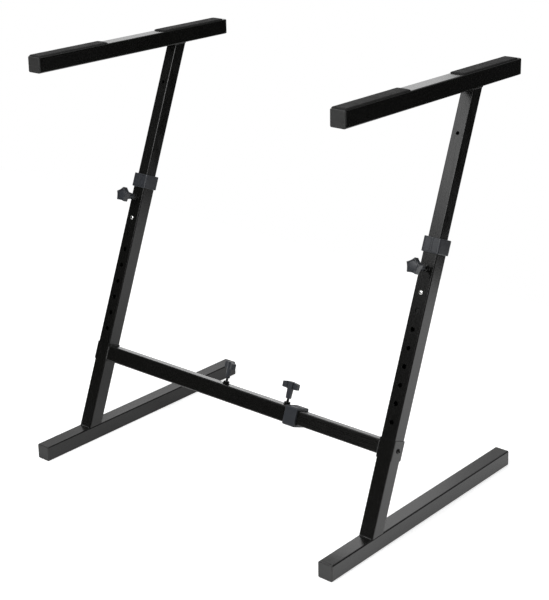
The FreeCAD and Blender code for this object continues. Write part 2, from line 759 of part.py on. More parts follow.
def make_snap_button(name, side):
    """The steel pin that locks the inner tube at a hole of the leg."""
    base = SIZE["inner_side"] / 2 - SIZE["wall"] - SIZE["fit_gap"] - SIZE["button_root"]
    body = new_body(name + "_snap_button", on_leg(side, length("button_height")), STAR_TURN)
    sketch = sketch_on(body, "XY_Plane", base)
    add_circle(sketch, 0, 0, SIZE["button_bore"])
    pad(body, sketch, SIZE["outer_side"] / 2 + SIZE["button_proud"] - base)


def ribbon(spots, thickness):
    """The corners of a strip of even thickness whose middle line runs through the spots."""
    near, far = [], []
    for index, spot in enumerate(spots):
        before = (spot - spots[index - 1]).normalize() if index else None
        after = (spots[index + 1] - spot).normalize() if index + 1 < len(spots) else None
        run = ((before or after) + (after or before)).normalize()
        square = Vector(-run.y, run.x, 0)
        opening = run.dot(before or after)
        near.append(spot + square * (thickness / 2 / opening))
        far.append(spot - square * (thickness / 2 / opening))
    return near + far[::-1]


def make_button_spring(name, side):
    """The V of spring strip behind the button, its bend up and its open end down."""
    strip = length("spring_strip")
    bore = length("inner_side") / 2 - length("wall")
    front = strip / 2 + length("button_root") + length("fit_gap") * 2 - bore
    back = bore - strip / 2
    foot, knee = length("spring_foot"), length("spring_knee")
    rise, bend = length("spring_rise"), length("spring_bend")
    crown = [
        Vector(bend * math.sin(turn), rise + bend * math.cos(turn), 0)
        for turn in (math.radians(step) for step in range(-80, 81, 40))
    ]
    spots = [Vector(front, -foot, 0), Vector(front, knee, 0)] + crown
    spots += [Vector(back, knee, 0), Vector(back, -foot, 0)]
    body = new_body(name + "_button_spring", on_leg(side, length("button_height")), LEG_TURN)
    sketch = sketch_on(body, "YZ_Plane")
    add_outline(sketch, [(corner.x, corner.y) for corner in ribbon(spots, strip)])
    pad(body, sketch, SIZE["spring_width"], middle=True)


# ---------------------------------------------------------------- arm pads


def make_pad(label, side, start):
    """A foam strip on the arm with bevelled top edges."""
    place = Vector(leg_base(side).x, start, length("arm_underside") + length("outer_side"))
    body = new_body(label, place, FOOT_TURN)
    sketch = sketch_on(body, "XY_Plane")
    half, rise = SIZE["pad_width"] / 2, SIZE["pad_rise"]
    add_outline(sketch, ((-half, Size.of(0)), (half, Size.of(0)), (half, -rise), (-half, -rise)))
    pad(body, sketch, SIZE["pad_length"])
    bevel_edges(body, SIZE["pad_shoulder"], lambda edge: edge.BoundBox.YMax < -length("pad_rise") + 0.01)


def make_pads():
    for name, side in SIDES:
        make_pad(name + "_front_pad", side, length("front_pad_start"))
        make_pad(name + "_rear_pad", side, length("rear_pad_start"))


# ---------------------------------------------------------------- the whole stand

for name, side in SIDES:
    make_foot_tube(name, side)
    make_leg_tube(name, side)
    make_inner_tube(name, side)
    make_arm_tube(name, side)
    make_caps(name, side)
    make_sleeve(name, side)
    make_sleeve_bolt(name, side)
    make_snap_button(name, side)
    make_button_spring(name, side)
make_crossbar_tubes()
bar_end = on_bar(length("bar_joint") - length("bar_overlap"))
make_glide_plug("crossbar_inner_plug", bar_end, turned(-ACROSS, OUT_FRONT))
make_collars()
make_nuts()
make_clamps()
make_pads()
doc.recompute()

for thing in doc.Objects:
    if "Invalid" in thing.State or "Error" in thing.State:
        raise RuntimeError("%s is %s" % (thing.Name, thing.State))
for piece in pieces:
    if piece.Shape.isNull() or not piece.Shape.isValid():
        raise RuntimeError(piece.Label + " has no valid solid")

os.makedirs("parts", exist_ok=True)
for piece in pieces:
    piece.Shape.exportStep(os.path.join("parts", piece.Label + ".step"))
    box = piece.Shape.BoundBox
    print("%-22s %9.1f mm3  X %7.1f %7.1f  Y %7.1f %7.1f  Z %7.1f %7.1f" % (
        piece.Label, piece.Shape.Volume, box.XMin, box.XMax, box.YMin, box.YMax, box.ZMin, box.ZMax))
print(len(pieces), "pieces")
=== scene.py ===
# %% [markdown]
# # A keyboard stand of square steel tube
#
# The stand is two end frames joined by a crossbar. Each frame is a level foot, a leg that leans
# back and a padded arm on a tube that slides in the leg. The steel parts come packed from CAD with
# every hole and mitre in its place, and they are never moved here. This script gives them the looks
# of the real thing: powder-coated steel, weld beads, moulded knobs and collars, threads and pads.
#
# The imported model is loaded first. The finished looks have to stay inside it.

# %% Load the imported stand
import json
import math

import bmesh
import bpy
from mathutils import Matrix, Vector


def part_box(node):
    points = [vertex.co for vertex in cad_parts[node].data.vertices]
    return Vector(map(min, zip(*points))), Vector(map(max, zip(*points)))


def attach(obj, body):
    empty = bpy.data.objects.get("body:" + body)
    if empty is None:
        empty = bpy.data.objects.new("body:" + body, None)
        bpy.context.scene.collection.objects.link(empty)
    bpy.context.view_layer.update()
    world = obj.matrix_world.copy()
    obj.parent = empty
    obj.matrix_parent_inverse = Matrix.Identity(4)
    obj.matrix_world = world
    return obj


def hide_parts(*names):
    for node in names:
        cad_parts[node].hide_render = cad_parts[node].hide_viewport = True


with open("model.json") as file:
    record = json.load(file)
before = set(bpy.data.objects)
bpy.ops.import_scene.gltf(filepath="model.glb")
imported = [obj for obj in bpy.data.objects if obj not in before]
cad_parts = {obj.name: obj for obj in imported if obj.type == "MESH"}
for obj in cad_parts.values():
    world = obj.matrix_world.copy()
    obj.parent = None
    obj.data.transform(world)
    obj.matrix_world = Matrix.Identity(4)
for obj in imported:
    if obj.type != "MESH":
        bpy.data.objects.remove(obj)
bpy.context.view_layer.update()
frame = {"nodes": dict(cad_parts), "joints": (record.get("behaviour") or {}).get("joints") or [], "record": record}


# %% [markdown]
# ## Directions and places from the frame
#
# Every direction can be read from the joints: the arms rise along the legs, and the star knobs'
# screws point straight out of the legs' front faces. Reading them keeps this script right if the
# legs lean a little more or less. A node's size along any direction is measured on its vertices.

# %% Directions, and rulers for the nodes
joints = {joint["name"]: joint for joint in frame["joints"]}
bodies = frame["record"]["behaviour"]["bodies"]
body_of_node = {node: body for body, nodes in bodies.items() for node in nodes}
slot_of_node = {part["node"]: part["material_slot"] for part in frame["record"]["subparts"]}

ACROSS = Vector((1, 0, 0))
BACK = Vector((0, 1, 0))
UP = Vector((0, 0, 1))
ALONG_LEG = Vector(joints["left_height_slide"]["axis"])
OUT_FRONT = Vector(joints["left_clamp_travel"]["axis"])
SIDES = {"left": -1, "right": 1}
MM = 0.001
NEARLY = 0.1 * MM                        # places no further apart than this count as one


def extent(node, direction):
    """The lowest and highest reach of a CAD node along a direction, in metres."""
    reaches = [vertex.co.dot(direction) for vertex in frame["nodes"][node].data.vertices]
    return min(reaches), max(reaches)


def span(node, direction):
    low, high = extent(node, direction)
    return high - low


def middle(node, along, sideways):
    """The middle of a node's box, where the box is square to the two directions."""
    axes = (sideways, along.cross(sideways), along)
    return sum(((sum(extent(node, axis)) / 2) * axis for axis in axes), Vector())


def offsets_from(node, pivot, axis):
    """How each vertex of a node lies off an axis through a pivot."""
    arms = [vertex.co - pivot for vertex in frame["nodes"][node].data.vertices]
    return [arm - axis * arm.dot(axis) for arm in arms]


def stand_at(place, along, sideways):
    """The matrix that carries a shape from its own frame to a place, with its Z turned to along."""
    turn = Matrix((sideways, along.cross(sideways), along)).transposed()
    return Matrix.Translation(place) @ turn.to_4x4()


OUTER_SIDE = span("left_foot_tube", ACROSS)
INNER_SIDE = span("left_inner_tube", ACROSS)
FOOT_TOP = extent("left_foot_tube", UP)[1]
print("tubes", round(OUTER_SIDE / MM, 2), "and", round(INNER_SIDE / MM, 2), "mm square")

# %% [markdown]
# ## The camera
#
# The photograph looks down on the stand from the player's right. A long lens from a few metres away
# keeps the uprights nearly parallel. The picture looks cropped out of a taller one, with the lens
# axis above its middle, so the camera is shifted instead of tilted, as a view camera would be.

# %% Set up the camera
CAMERA_PLACE = Vector((2.0084, -2.2998, 1.5320))
CAMERA_HEADING = math.radians(40.77)     # turned from the +Y axis towards -X
CAMERA_PITCH = math.radians(-16.81)
CAMERA_ROLL = math.radians(-0.97)
CAMERA_LENS = 88.65                      # millimetres, as the sensor's width is
CAMERA_SENSOR = 36.0
CAMERA_SHIFT = (-0.0009, -0.1586)        # parts of the picture's longer side

camera_data = bpy.data.cameras.new("camera")
camera_data.sensor_width = CAMERA_SENSOR
camera_data.lens = CAMERA_LENS
camera_data.shift_x, camera_data.shift_y = CAMERA_SHIFT
camera = bpy.data.objects.new("camera", camera_data)
bpy.context.scene.collection.objects.link(camera)
heading = Matrix.Rotation(CAMERA_HEADING, 4, "Z")
pitch = Matrix.Rotation(math.pi / 2 + CAMERA_PITCH, 4, "X")
roll = Matrix.Rotation(CAMERA_ROLL, 4, "Z")
camera.matrix_world = Matrix.Translation(CAMERA_PLACE) @ heading @ pitch @ roll
bpy.context.scene.camera = camera
print("camera", [round(value, 3) for value in CAMERA_PLACE], "lens", CAMERA_LENS)

# %% [markdown]
# ## Node helpers for the finishes
#
# A finish is a small tree of nodes round one Principled shader. These helpers add a node, set its
# sockets by name and link it, so that each finish reads as a short recipe. All patterns read Object
# coordinates in metres. The pieces sit unturned at the origin, so the grain has its real size.

# %% Helpers for node trees


def feed(tree, socket, value):
    """Links a socket that is given as the value, or sets a plain value."""
    if isinstance(value, bpy.types.NodeSocket):
        tree.links.new(value, socket)
    else:
        socket.default_value = value


def add_node(tree, kind, **inputs):
    """Adds a shader node and feeds its inputs by name."""
    node = tree.nodes.new(kind)
    for name, value in inputs.items():
        feed(tree, node.inputs[name.replace("_", " ")], value)
    return node


def compute(tree, operation, *values):
    """The result of a Math node, fed in the order of its inputs."""
    node = tree.nodes.new("ShaderNodeMath")
    node.operation = operation
    for socket, value in zip(node.inputs, values):
        feed(tree, socket, value)
    return node.outputs["Value"]


def carry(tree, value, source, target, curve="LINEAR"):
    """A value carried from one range to another, and held at its ends."""
    ranger = add_node(tree, "ShaderNodeMapRange", Value=value)
    ranger.interpolation_type = curve
    for name, number in zip(("From Min", "From Max", "To Min", "To Max"), (*source, *target)):
        ranger.inputs[name].default_value = number
    return ranger.outputs["Result"]


# %% Helpers for finishes
NOISE_REACH = (0.3, 0.7)                 # a noise value keeps near one half
finishes = {}


def new_finish(name, **shader_inputs):
    """A material with one Principled shader, kept under its name."""
    material = bpy.data.materials.new(name)
    material.use_nodes = True
    shader = material.node_tree.nodes["Principled BSDF"]
    for socket, value in shader_inputs.items():
        shader.inputs[socket.replace("_", " ")].default_value = value
    material.diffuse_color = shader.inputs["Base Color"].default_value
    finishes[name] = material
    return material.node_tree, shader


def grain(tree, size, detail=2.0, stretch=(1, 1, 1)):
    """Noise whose blobs are about one size wide, in metres. stretch draws it out along an axis."""
    place = add_node(tree, "ShaderNodeTexCoord").outputs["Object"]
    scale = [1 / (size * factor) for factor in stretch]
    mapped = add_node(tree, "ShaderNodeMapping", Vector=place, Scale=scale).outputs["Vector"]
    noise = add_node(tree, "ShaderNodeTexNoise", Vector=mapped, Scale=1.0, Detail=detail)
    return noise.outputs["Fac"]


def vary_colour(tree, shader, noise, dark, light):
    """Lets a noise move the colour between a dark and a light one."""
    ramp = add_node(tree, "ShaderNodeValToRGB", Fac=noise)
    for element, colour in zip(ramp.color_ramp.elements, (dark, light)):
        element.color = (*colour, 1)
    feed(tree, shader.inputs["Base Color"], ramp.outputs["Color"])


def vary_gloss(tree, shader, noise, smoothest, dullest):
    """Lets a noise move the roughness between two values."""
    feed(tree, shader.inputs["Roughness"], carry(tree, noise, NOISE_REACH, (smoothest, dullest)))


def relief(tree, shader, heights, depth, normal=None):
    """Bump from a height value, as deep as depth in metres, on top of an earlier one."""
    bump = add_node(tree, "ShaderNodeBump", Strength=1.0, Distance=depth, Height=heights)
    if normal is not None:
        feed(tree, bump.inputs["Normal"], normal)
    feed(tree, shader.inputs["Normal"], bump.outputs["Normal"])
    return bump.outputs["Normal"]


# %% [markdown]
# ## Powder coat
#
# The tubes are black powder coat: paint powder that is baked on and flows into a smooth skin with a
# faint orange peel. A shallow bump a few millimetres wide gives the peel, and a finer one breaks up
# the shine. The colour is nearly black, and what is seen of it is mostly reflection. The tubes that
# slide also carry faint rub marks drawn out along the tube, which make the coat a little duller.

# %% Powder coat, plain and rubbed
PAINT_DARK = (0.0026, 0.0026, 0.0023)
PAINT_LIGHT = (0.0044, 0.0044, 0.0039)
PAINT_ROUGHNESS = (0.19, 0.27)
PAINT_CLOUD = 35.0 * MM
PAINT_FINE = 1.2 * MM
PAINT_FINE_DEPTH = 0.012 * MM
PEEL_SIZE = 2.8 * MM
PEEL_DEPTH = 0.06 * MM
RUB_WIDTH = 0.9 * MM
RUB_DULLS = 0.09                         # added to the roughness
RUBBED_LEG = (1, 22, 60)                 # how far the marks are drawn out along X, Y and Z
RUBBED_BAR = (60, 1, 1)


def make_powder_coat(name, rub=None):
    plain = sum(PAINT_ROUGHNESS) / 2
    tree, shader = new_finish(name, Base_Color=(*PAINT_DARK, 1), Roughness=plain, IOR=1.52)
    vary_colour(tree, shader, grain(tree, PAINT_CLOUD), PAINT_DARK, PAINT_LIGHT)
    fine = grain(tree, PAINT_FINE)
    roughness = carry(tree, fine, NOISE_REACH, PAINT_ROUGHNESS)
    if rub is not None:
        marks = grain(tree, RUB_WIDTH, stretch=rub)
        worn = carry(tree, marks, NOISE_REACH, (0.0, RUB_DULLS))
        roughness = compute(tree, "ADD", roughness, worn)
    feed(tree, shader.inputs["Roughness"], roughness)
    peel = relief(tree, shader, grain(tree, PEEL_SIZE, detail=1.0), PEEL_DEPTH)
    relief(tree, shader, fine, PAINT_FINE_DEPTH, normal=peel)


make_powder_coat("powder_coat")
make_powder_coat("rubbed_leg_coat", rub=RUBBED_LEG)
make_powder_coat("rubbed_bar_coat", rub=RUBBED_BAR)
print("painted finishes:", ", ".join(finishes))

# %% [markdown]
# ## Moulded plastic, pads and bare metal
#
# Knobs and collars are a dark blue-grey plastic with the fine spark-eroded grain of their mould. The
# end caps are a greyer, duller plastic. The pads are matt foam rubber with a pebbled skin. The snap
# buttons are bright zinc, and the springs behind them blued steel. The sleeve bolts and the clamp
# screws are black oxide, and the clamp screws end in a milky nylon tip.

# %% Moulded plastic
PLASTIC_CLOUD = 12.0 * MM
PLASTIC_SMOOTHER = 0.05                  # how far the roughness strays each way
PLASTIC_DULLER = 0.07
PLASTIC_RELIEF = 0.12                    # depth of the grain, as a share of its width


def make_plastic(name, dark, light, roughness, grain_size):
    tree, shader = new_finish(name, Base_Color=(*dark, 1), Roughness=roughness, IOR=1.5)
    vary_colour(tree, shader, grain(tree, PLASTIC_CLOUD), dark, light)
    fine = grain(tree, grain_size, detail=3.0)
    vary_gloss(tree, shader, fine, roughness - PLASTIC_SMOOTHER, roughness + PLASTIC_DULLER)
    relief(tree, shader, fine, grain_size * PLASTIC_RELIEF)


make_plastic("knob_plastic", (0.022, 0.024, 0.028), (0.031, 0.034, 0.040), 0.33, 0.4 * MM)
make_plastic("cap_plastic", (0.019, 0.019, 0.019), (0.027, 0.027, 0.026), 0.45, 0.5 * MM)
make_plastic("nylon", (0.55, 0.54, 0.49), (0.66, 0.65, 0.60), 0.42, 0.6 * MM)
print("with the plastics:", ", ".join(finishes))

# %% Pad rubber
PAD_PLAIN = (0.008, 0.008, 0.008)
PAD_DARK = (0.006, 0.006, 0.006)
PAD_LIGHT = (0.012, 0.012, 0.012)
PAD_ROUGHNESS = (0.74, 0.88)
PAD_CLOUD = 20.0 * MM
PEBBLE_SIZE = 1.1 * MM
PEBBLE_DEPTH = 0.1 * MM
DIMPLE_SIZE = 6.0 * MM
DIMPLE_DEPTH = 0.1 * MM


def make_pad_rubber():
    tree, shader = new_finish("pad_rubber", Base_Color=(*PAD_PLAIN, 1), Roughness=0.8, IOR=1.45)
    cloud = grain(tree, PAD_CLOUD)
    vary_colour(tree, shader, cloud, PAD_DARK, PAD_LIGHT)
    vary_gloss(tree, shader, cloud, *PAD_ROUGHNESS)
    place = add_node(tree, "ShaderNodeTexCoord").outputs["Object"]
    pebbles = add_node(tree, "ShaderNodeTexVoronoi", Vector=place, Scale=1 / PEBBLE_SIZE)
    skin = relief(tree, shader, pebbles.outputs["Distance"], PEBBLE_DEPTH)
    relief(tree, shader, grain(tree, DIMPLE_SIZE), DIMPLE_DEPTH, normal=skin)


make_pad_rubber()
print("with the pads:", ", ".join(finishes))

# %% Bare and blackened metal
METAL_GRAIN = 0.5 * MM
METAL_DEPTH = 0.01 * MM
METAL_SMOOTHER = 0.06
METAL_DULLER = 0.08
SPRING_DRAWN = (1, 20, 20)               # how far the grain is drawn out along X, Y and Z


def make_metal(name, dark, light, roughness, stretch=(1, 1, 1), metallic=1.0):
    tree, shader = new_finish(name, Base_Color=(*dark, 1), Roughness=roughness, Metallic=metallic)
    fine = grain(tree, METAL_GRAIN, detail=3.0, stretch=stretch)
    vary_colour(tree, shader, fine, dark, light)
    vary_gloss(tree, shader, fine, roughness - METAL_SMOOTHER, roughness + METAL_DULLER)
    relief(tree, shader, fine, METAL_DEPTH)


make_metal("bright_zinc", (0.66, 0.66, 0.63), (0.84, 0.84, 0.82), 0.20)
make_metal("spring_steel", (0.20, 0.21, 0.24), (0.30, 0.31, 0.34), 0.34, stretch=SPRING_DRAWN)
make_metal("black_oxide", (0.007, 0.007, 0.007), (0.013, 0.013, 0.013), 0.20, metallic=0.3)
print("all finishes:", ", ".join(finishes))

# %% [markdown]
# ## From a bmesh to a piece that rides on the stand
#
# Every piece goes the same last way: its faces are turned outwards, it is placed in its mesh rather
# than by its object, it gets its finish, it is tied to the body it rides on, and the CAD nodes it
# stands for are hidden. Large flat faces beside small rounded ones shade as if they were pillows, so
# the normals are weighted by face area, which keeps flats flat.

# %% Helpers that finish a piece
SHARP_ANGLE = math.radians(35)
SAME_SPOT = 0.0001 * MM


def finish_piece(bm, name, finish, body, replaced=()):
    """Makes the piece's object, dresses it and ties it to its body."""
    mesh = bpy.data.meshes.new(name)
    bm.to_mesh(mesh)
    bm.free()
    mesh.shade_smooth()
    mesh.set_sharp_from_angle(angle=SHARP_ANGLE)
    mesh.materials.append(finishes[finish])
    piece = bpy.data.objects.new(name, mesh)
    bpy.context.scene.collection.objects.link(piece)
    weighted = piece.modifiers.new("flat_faces", "WEIGHTED_NORMAL")
    weighted.keep_sharp = True
    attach(piece, body)
    if replaced:
        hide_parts(*replaced)
    return piece


def stand_for(bm, node, name, finish):
    """A piece that takes one CAD node's place and body, and hides the node."""
    return finish_piece(bm, name, finish, body_of_node[node], (node,))


def face_outwards(bm):
    bmesh.ops.remove_doubles(bm, verts=bm.verts, dist=SAME_SPOT)
    bmesh.ops.recalc_face_normals(bm, faces=bm.faces)


def round_off(bm, geom, radius, segments, affect="EDGES", clamp=False):
    """Rounds edges, or a flat outline's corners where it affects vertices."""
    bmesh.ops.bevel(
        bm, geom=geom, offset=radius, offset_type="OFFSET", affect=affect,
        segments=segments, profile=0.5, material=-1, clamp_overlap=clamp,
    )


# %% [markdown]
# ## The square tubes
#
# The tubes could be drawn again here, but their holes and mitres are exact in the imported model. So
# each tube starts from a copy of its node. The copy's loose triangles are merged, flat stretches are
# joined into whole faces, and the sharp cut edges and hole rims are rounded by a little over half a
# millimetre, as deburring and thick paint round them. That thin round catches the light.

# %% Paint the tubes
PAINTED_EDGE = 0.6 * MM
PAINTED_SEGMENTS = 2
CUT_EDGE_ANGLE = math.radians(50)
FLAT_ANGLE = math.radians(0.5)
TOUCHING = 0.001 * MM


def merged_copy(node):
    """A bmesh of a CAD node with its triangles joined and its flats whole."""
    bm = bmesh.new()
    bm.from_mesh(frame["nodes"][node].data)
    bmesh.ops.remove_doubles(bm, verts=bm.verts, dist=TOUCHING)
    bmesh.ops.dissolve_limit(bm, angle_limit=FLAT_ANGLE, verts=bm.verts, edges=bm.edges)
    return bm


def paint_tube(node, finish):
    bm = merged_copy(node)
    whole = [edge for edge in bm.edges if edge.is_manifold]
    cuts = [edge for edge in whole if edge.calc_face_angle() > CUT_EDGE_ANGLE]
    round_off(bm, cuts, PAINTED_EDGE, PAINTED_SEGMENTS, clamp=True)
    stand_for(bm, node, node + "_painted", finish)


for side in SIDES:
    for part in ("foot_tube", "leg_tube", "arm_tube", "sleeve"):
        paint_tube(side + "_" + part, "powder_coat")
    paint_tube(side + "_inner_tube", "rubbed_leg_coat")
paint_tube("crossbar_outer_tube", "powder_coat")
paint_tube("crossbar_inner_tube", "rubbed_bar_coat")

# %% [markdown]
# ## Lofting rounded squares
#
# Caps and collars are both stacks of rounded squares. Blender can make one from a single square face
# whose corners are bevelled. Only its outline is kept, and neighbouring outlines in the stack are
# bridged. A round edge is a few outlines close together, their sides given by a cosine.

# %% Helpers for stacks of rounded squares
CORNER_SEGMENTS = 5
EDGE_STEPS = 4
CORNER_SHRINK = 0.6                      # how much of an inset the corner's radius loses


def square_outline(bm, side, corner, height):
    """The closed outline of a rounded square at a height."""
    before = set(bm.faces)
    at_height = Matrix.Translation((0, 0, height))
    grid = bmesh.ops.create_grid(bm, x_segments=1, y_segments=1, size=side / 2, matrix=at_height)
    round_off(bm, grid["verts"], corner, CORNER_SEGMENTS, affect="VERTICES")
    face = (set(bm.faces) - before).pop()
    outline = list(face.edges)
    bmesh.ops.delete(bm, geom=[face], context="FACES_ONLY")
    return outline


def stack_squares(bm, levels, ring=False):
    """Bridges outlines given as (side, corner, height). A ring closes on itself, or ends fill."""
    outlines = [square_outline(bm, *level) for level in levels]
    pairs = list(zip(outlines, outlines[1:]))
    if ring:
        pairs.append((outlines[-1], outlines[0]))
    for first, second in pairs:
        bmesh.ops.bridge_loops(bm, edges=first + second)
    if not ring:
        for end in (outlines[0], outlines[-1]):
            bmesh.ops.edgeloop_fill(bm, edges=end)
    face_outwards(bm)


def rounded_rise(side, corner, height, radius, top=True):
    """Levels that round off a square block's edge, up to a height or down from it."""
    levels = []
    for step in range(EDGE_STEPS + 1):
        turn = math.pi / 2 * step / EDGE_STEPS
        inset = radius * (1 - math.cos(turn))
        rise = radius * math.sin(turn)
        level_height = height - radius + rise if top else height + radius - rise
        levels.append((side - 2 * inset, corner - inset * CORNER_SHRINK, level_height))
    return levels if top else levels[::-1]


print("outlines in a rounded edge:", len(rounded_rise(30.0, 3.0, 10.0, 2.0)))

# %% [markdown]
# ## End caps
#
# A push-in cap closes each open tube end. Outside it has a flange as wide as the tube, with a
# rounded front edge and a face that is dished by a hair, as thick mouldings shrink. Inside it has a
# hollow boss, which stays out of sight but keeps the piece whole.

# %% Make the eight end caps
TUBE_CORNER = 3.0 * MM
TUBE_WALL = 1.5 * MM
CAP_FLANGE = 4.0 * MM
CAP_ROUND = 1.6 * MM
CAP_DISH = 0.25 * MM
CAP_BORDER = 4.5 * MM                    # from the flange's side to the dished middle
CAP_PLAY = 0.3 * MM
CAP_WALL = 2.0 * MM
CAP_FLOOR = 1.0 * MM
BOSS_CORNER = 1.2 * MM


def make_end_cap(node, outward):
    tail = CAP_FLANGE - span(node, BACK)
    boss = OUTER_SIDE - 2 * TUBE_WALL - CAP_PLAY
    hollow = boss - 2 * CAP_WALL
    levels = [
        (hollow, BOSS_CORNER / 2, -CAP_FLOOR),
        (hollow, BOSS_CORNER / 2, tail),
        (boss, BOSS_CORNER, tail),
        (boss, BOSS_CORNER, 0),
        (OUTER_SIDE, TUBE_CORNER, 0),
    ]
    levels += rounded_rise(OUTER_SIDE, TUBE_CORNER, CAP_FLANGE, CAP_ROUND)
    levels.append((OUTER_SIDE - 2 * CAP_BORDER, TUBE_CORNER, CAP_FLANGE - CAP_DISH))
    bm = bmesh.new()
    stack_squares(bm, levels)
    low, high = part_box(node)
    place = (low + high) / 2
    place.y = (low.y + CAP_FLANGE) if outward.y < 0 else (high.y - CAP_FLANGE)
    bm.transform(stand_at(place, outward, ACROSS))
    face_outwards(bm)
    stand_for(bm, node, node + "_moulded", "cap_plastic")


for side in SIDES:
    for part in ("foot", "arm"):
        make_end_cap(side + "_" + part + "_front_cap", -BACK)
        make_end_cap(side + "_" + part + "_rear_cap", BACK)

# %% [markdown]
# ## Collars
#
# A plastic bush sits on each open tube end and steadies the tube that slides in it. Its front has a
# sunk panel with a raised frame, and two slim ribs stand in the panel where the mould parts. The top
# closes in to a lip round the inner tube. It is one ring of outlines: up the outside, in over the
# lip, down the bore and back out. The panel is the front wall's face, inset and pressed in.

# %% Make the three collars
COLLAR_ROUND = 1.5 * MM
COLLAR_CORNER = 3.2 * MM
COLLAR_LIP = 2.5 * MM
LIP_PLAY = 0.3 * MM
LIP_BREAK = 0.4 * MM                     # how far the lip's upper edge is broken
LIP_CORNER = 2.5 * MM
LIP_MOUTH_CORNER = 2.6 * MM
BORE_PLAY = 0.1 * MM
FRAME_WIDTH = 3.0 * MM
FRAME_ON_FACE = FRAME_WIDTH - 0.6 * COLLAR_CORNER    # the rest of it is on the rounded corner
PANEL_SUNK = 0.9 * MM
PANEL_SLOPE = 0.5 * PANEL_SUNK
RIB_WIDTH = 1.5 * MM
RIB_THICK = 1.3 * MM
RIB_ROUND = 0.4 * MM
RIB_SEGMENTS = 3
RIB_OFF_MIDDLE = 2.1 * MM
RIB_SUNK = 0.9 * PANEL_SUNK              # depth of its middle below the frame


def collar_levels(side, run):
    """Outlines up the outside, in over the lip and down the bore."""
    top = run / 2
    opening = INNER_SIDE + LIP_PLAY
    bore = OUTER_SIDE + BORE_PLAY
    levels = rounded_rise(side, COLLAR_CORNER, -top, COLLAR_ROUND, top=False)
    levels += rounded_rise(side, COLLAR_CORNER, top, COLLAR_ROUND)
    levels += [
        (opening + 2 * LIP_BREAK, LIP_MOUTH_CORNER, top),
        (opening, LIP_CORNER, top - LIP_BREAK),
        (opening, LIP_CORNER, top - COLLAR_LIP),
        (bore, TUBE_CORNER, top - COLLAR_LIP),
        (bore, TUBE_CORNER, -top),
    ]
    return levels


def press_in_panel(bm, side):
    """Sinks the large flat face of the wall towards -Y, and leaves a frame round it."""
    wall = [face for face in bm.faces if face.calc_center_median().y < NEARLY - side / 2]
    panel = max(wall, key=lambda face: face.calc_area())
    for width, depth in ((FRAME_ON_FACE, 0), (PANEL_SLOPE, -PANEL_SUNK)):
        bmesh.ops.inset_individual(bm, faces=[panel], thickness=width, depth=depth)


def add_rib(bm, size, place):
    """A slim block about a place, its edges rounded."""
    block = bmesh.ops.create_cube(bm, matrix=Matrix.Translation(place) @ Matrix.Diagonal((*size, 1)))
    edges = list({edge for vertex in block["verts"] for edge in vertex.link_edges})
    round_off(bm, edges, RIB_ROUND, RIB_SEGMENTS)


def make_collar(node, along, sideways):
    side = span(node, along.cross(sideways))
    run = span(node, along)
    bm = bmesh.new()
    stack_squares(bm, collar_levels(side, run), ring=True)
    press_in_panel(bm, side)
    for shift in (-RIB_OFF_MIDDLE, RIB_OFF_MIDDLE):
        rib = (RIB_WIDTH, RIB_THICK, run - 2 * FRAME_WIDTH)
        add_rib(bm, rib, (shift, RIB_SUNK - side / 2, 0))
    face_outwards(bm)
    bm.transform(stand_at(middle(node, along, sideways), along, sideways))
    stand_for(bm, node, node + "_moulded", "knob_plastic")


make_collar("left_collar", ALONG_LEG, ACROSS)
make_collar("right_collar", ALONG_LEG, ACROSS)
make_collar("crossbar_collar", ACROSS, OUT_FRONT)

# %% [markdown]
# ## Turning, then pressing
#
# Knobs, nuts, bolts and screws all start on the lathe: a half profile is spun once about Z. Then the
# rings are pressed in from the round by a rule that looks only at a vertex's radius, angle and
# height. A hexagon, five lobes and a screw thread are three such rules, so none needs a face list.

# %% Helpers for lathe work
TURN_STEPS = 60
ON_AXIS = 0.001 * MM


def spin_profile(bm, profile, steps=TURN_STEPS):
    """Spins a half profile of (radius, height) points once about Z and closes it on the axis."""
    points = [bm.verts.new((radius, 0, height)) for radius, height in profile]
    lines = [bm.edges.new(pair) for pair in zip(points, points[1:])]
    bmesh.ops.spin(
        bm, geom=points + lines, cent=(0, 0, 0), axis=(0, 0, 1), angle=math.tau,
        steps=steps, use_merge=True, use_duplicate=False,
    )
    face_outwards(bm)


def press(bm, rule):
    """Moves every vertex off the axis to the radius that the rule gives for it."""
    for vertex in bm.verts:
        radius = math.hypot(vertex.co.x, vertex.co.y)
        if radius < ON_AXIS:
            continue
        turn = math.atan2(vertex.co.y, vertex.co.x)
        scale = rule(radius, turn, vertex.co.z) / radius
        vertex.co.x *= scale
        vertex.co.y *= scale


def arc(centre_radius, centre_height, radius, start, end, steps=5):
    """Profile points along part of a circle, by angles in degrees."""
    angles = [math.radians(start + (end - start) * step / steps) for step in range(steps + 1)]
    return [(centre_radius + radius * math.cos(a), centre_height + radius * math.sin(a)) for a in angles]


def hexagon_radius(across, turn):
    """The distance from the middle to a hexagon's side, for its width across flats."""
    off_middle = (turn % (math.pi / 3)) - math.pi / 6
    return across / 2 / math.cos(off_middle)


def foot_of(node, along, sideways):
    """The middle of a node's lower end along a direction."""
    return middle(node, along, sideways) - along * span(node, along) / 2


def set_on_foot(bm, node, along, sideways):
    """Carries a turned shape, which stands on its own origin, to its node's lower end."""
    bm.transform(stand_at(foot_of(node, along, sideways), along, sideways))


print("a hexagon 10 mm across flats is", round(2 * hexagon_radius(10, 0), 2), "mm across corners")

# %% [markdown]
# ## Star knobs
#
# A star knob is turned as a mushroom and then pinched five times round its head, so the lobes keep
# the rounded rim of the turning. The pinch is a large circle that bites into the rim, which gives
# the slightly hollow sides. Its meeting with the rim is softened, because a moulded lobe has no
# sharp corner. The face has a raised rim round a panel that swells a little in its middle.

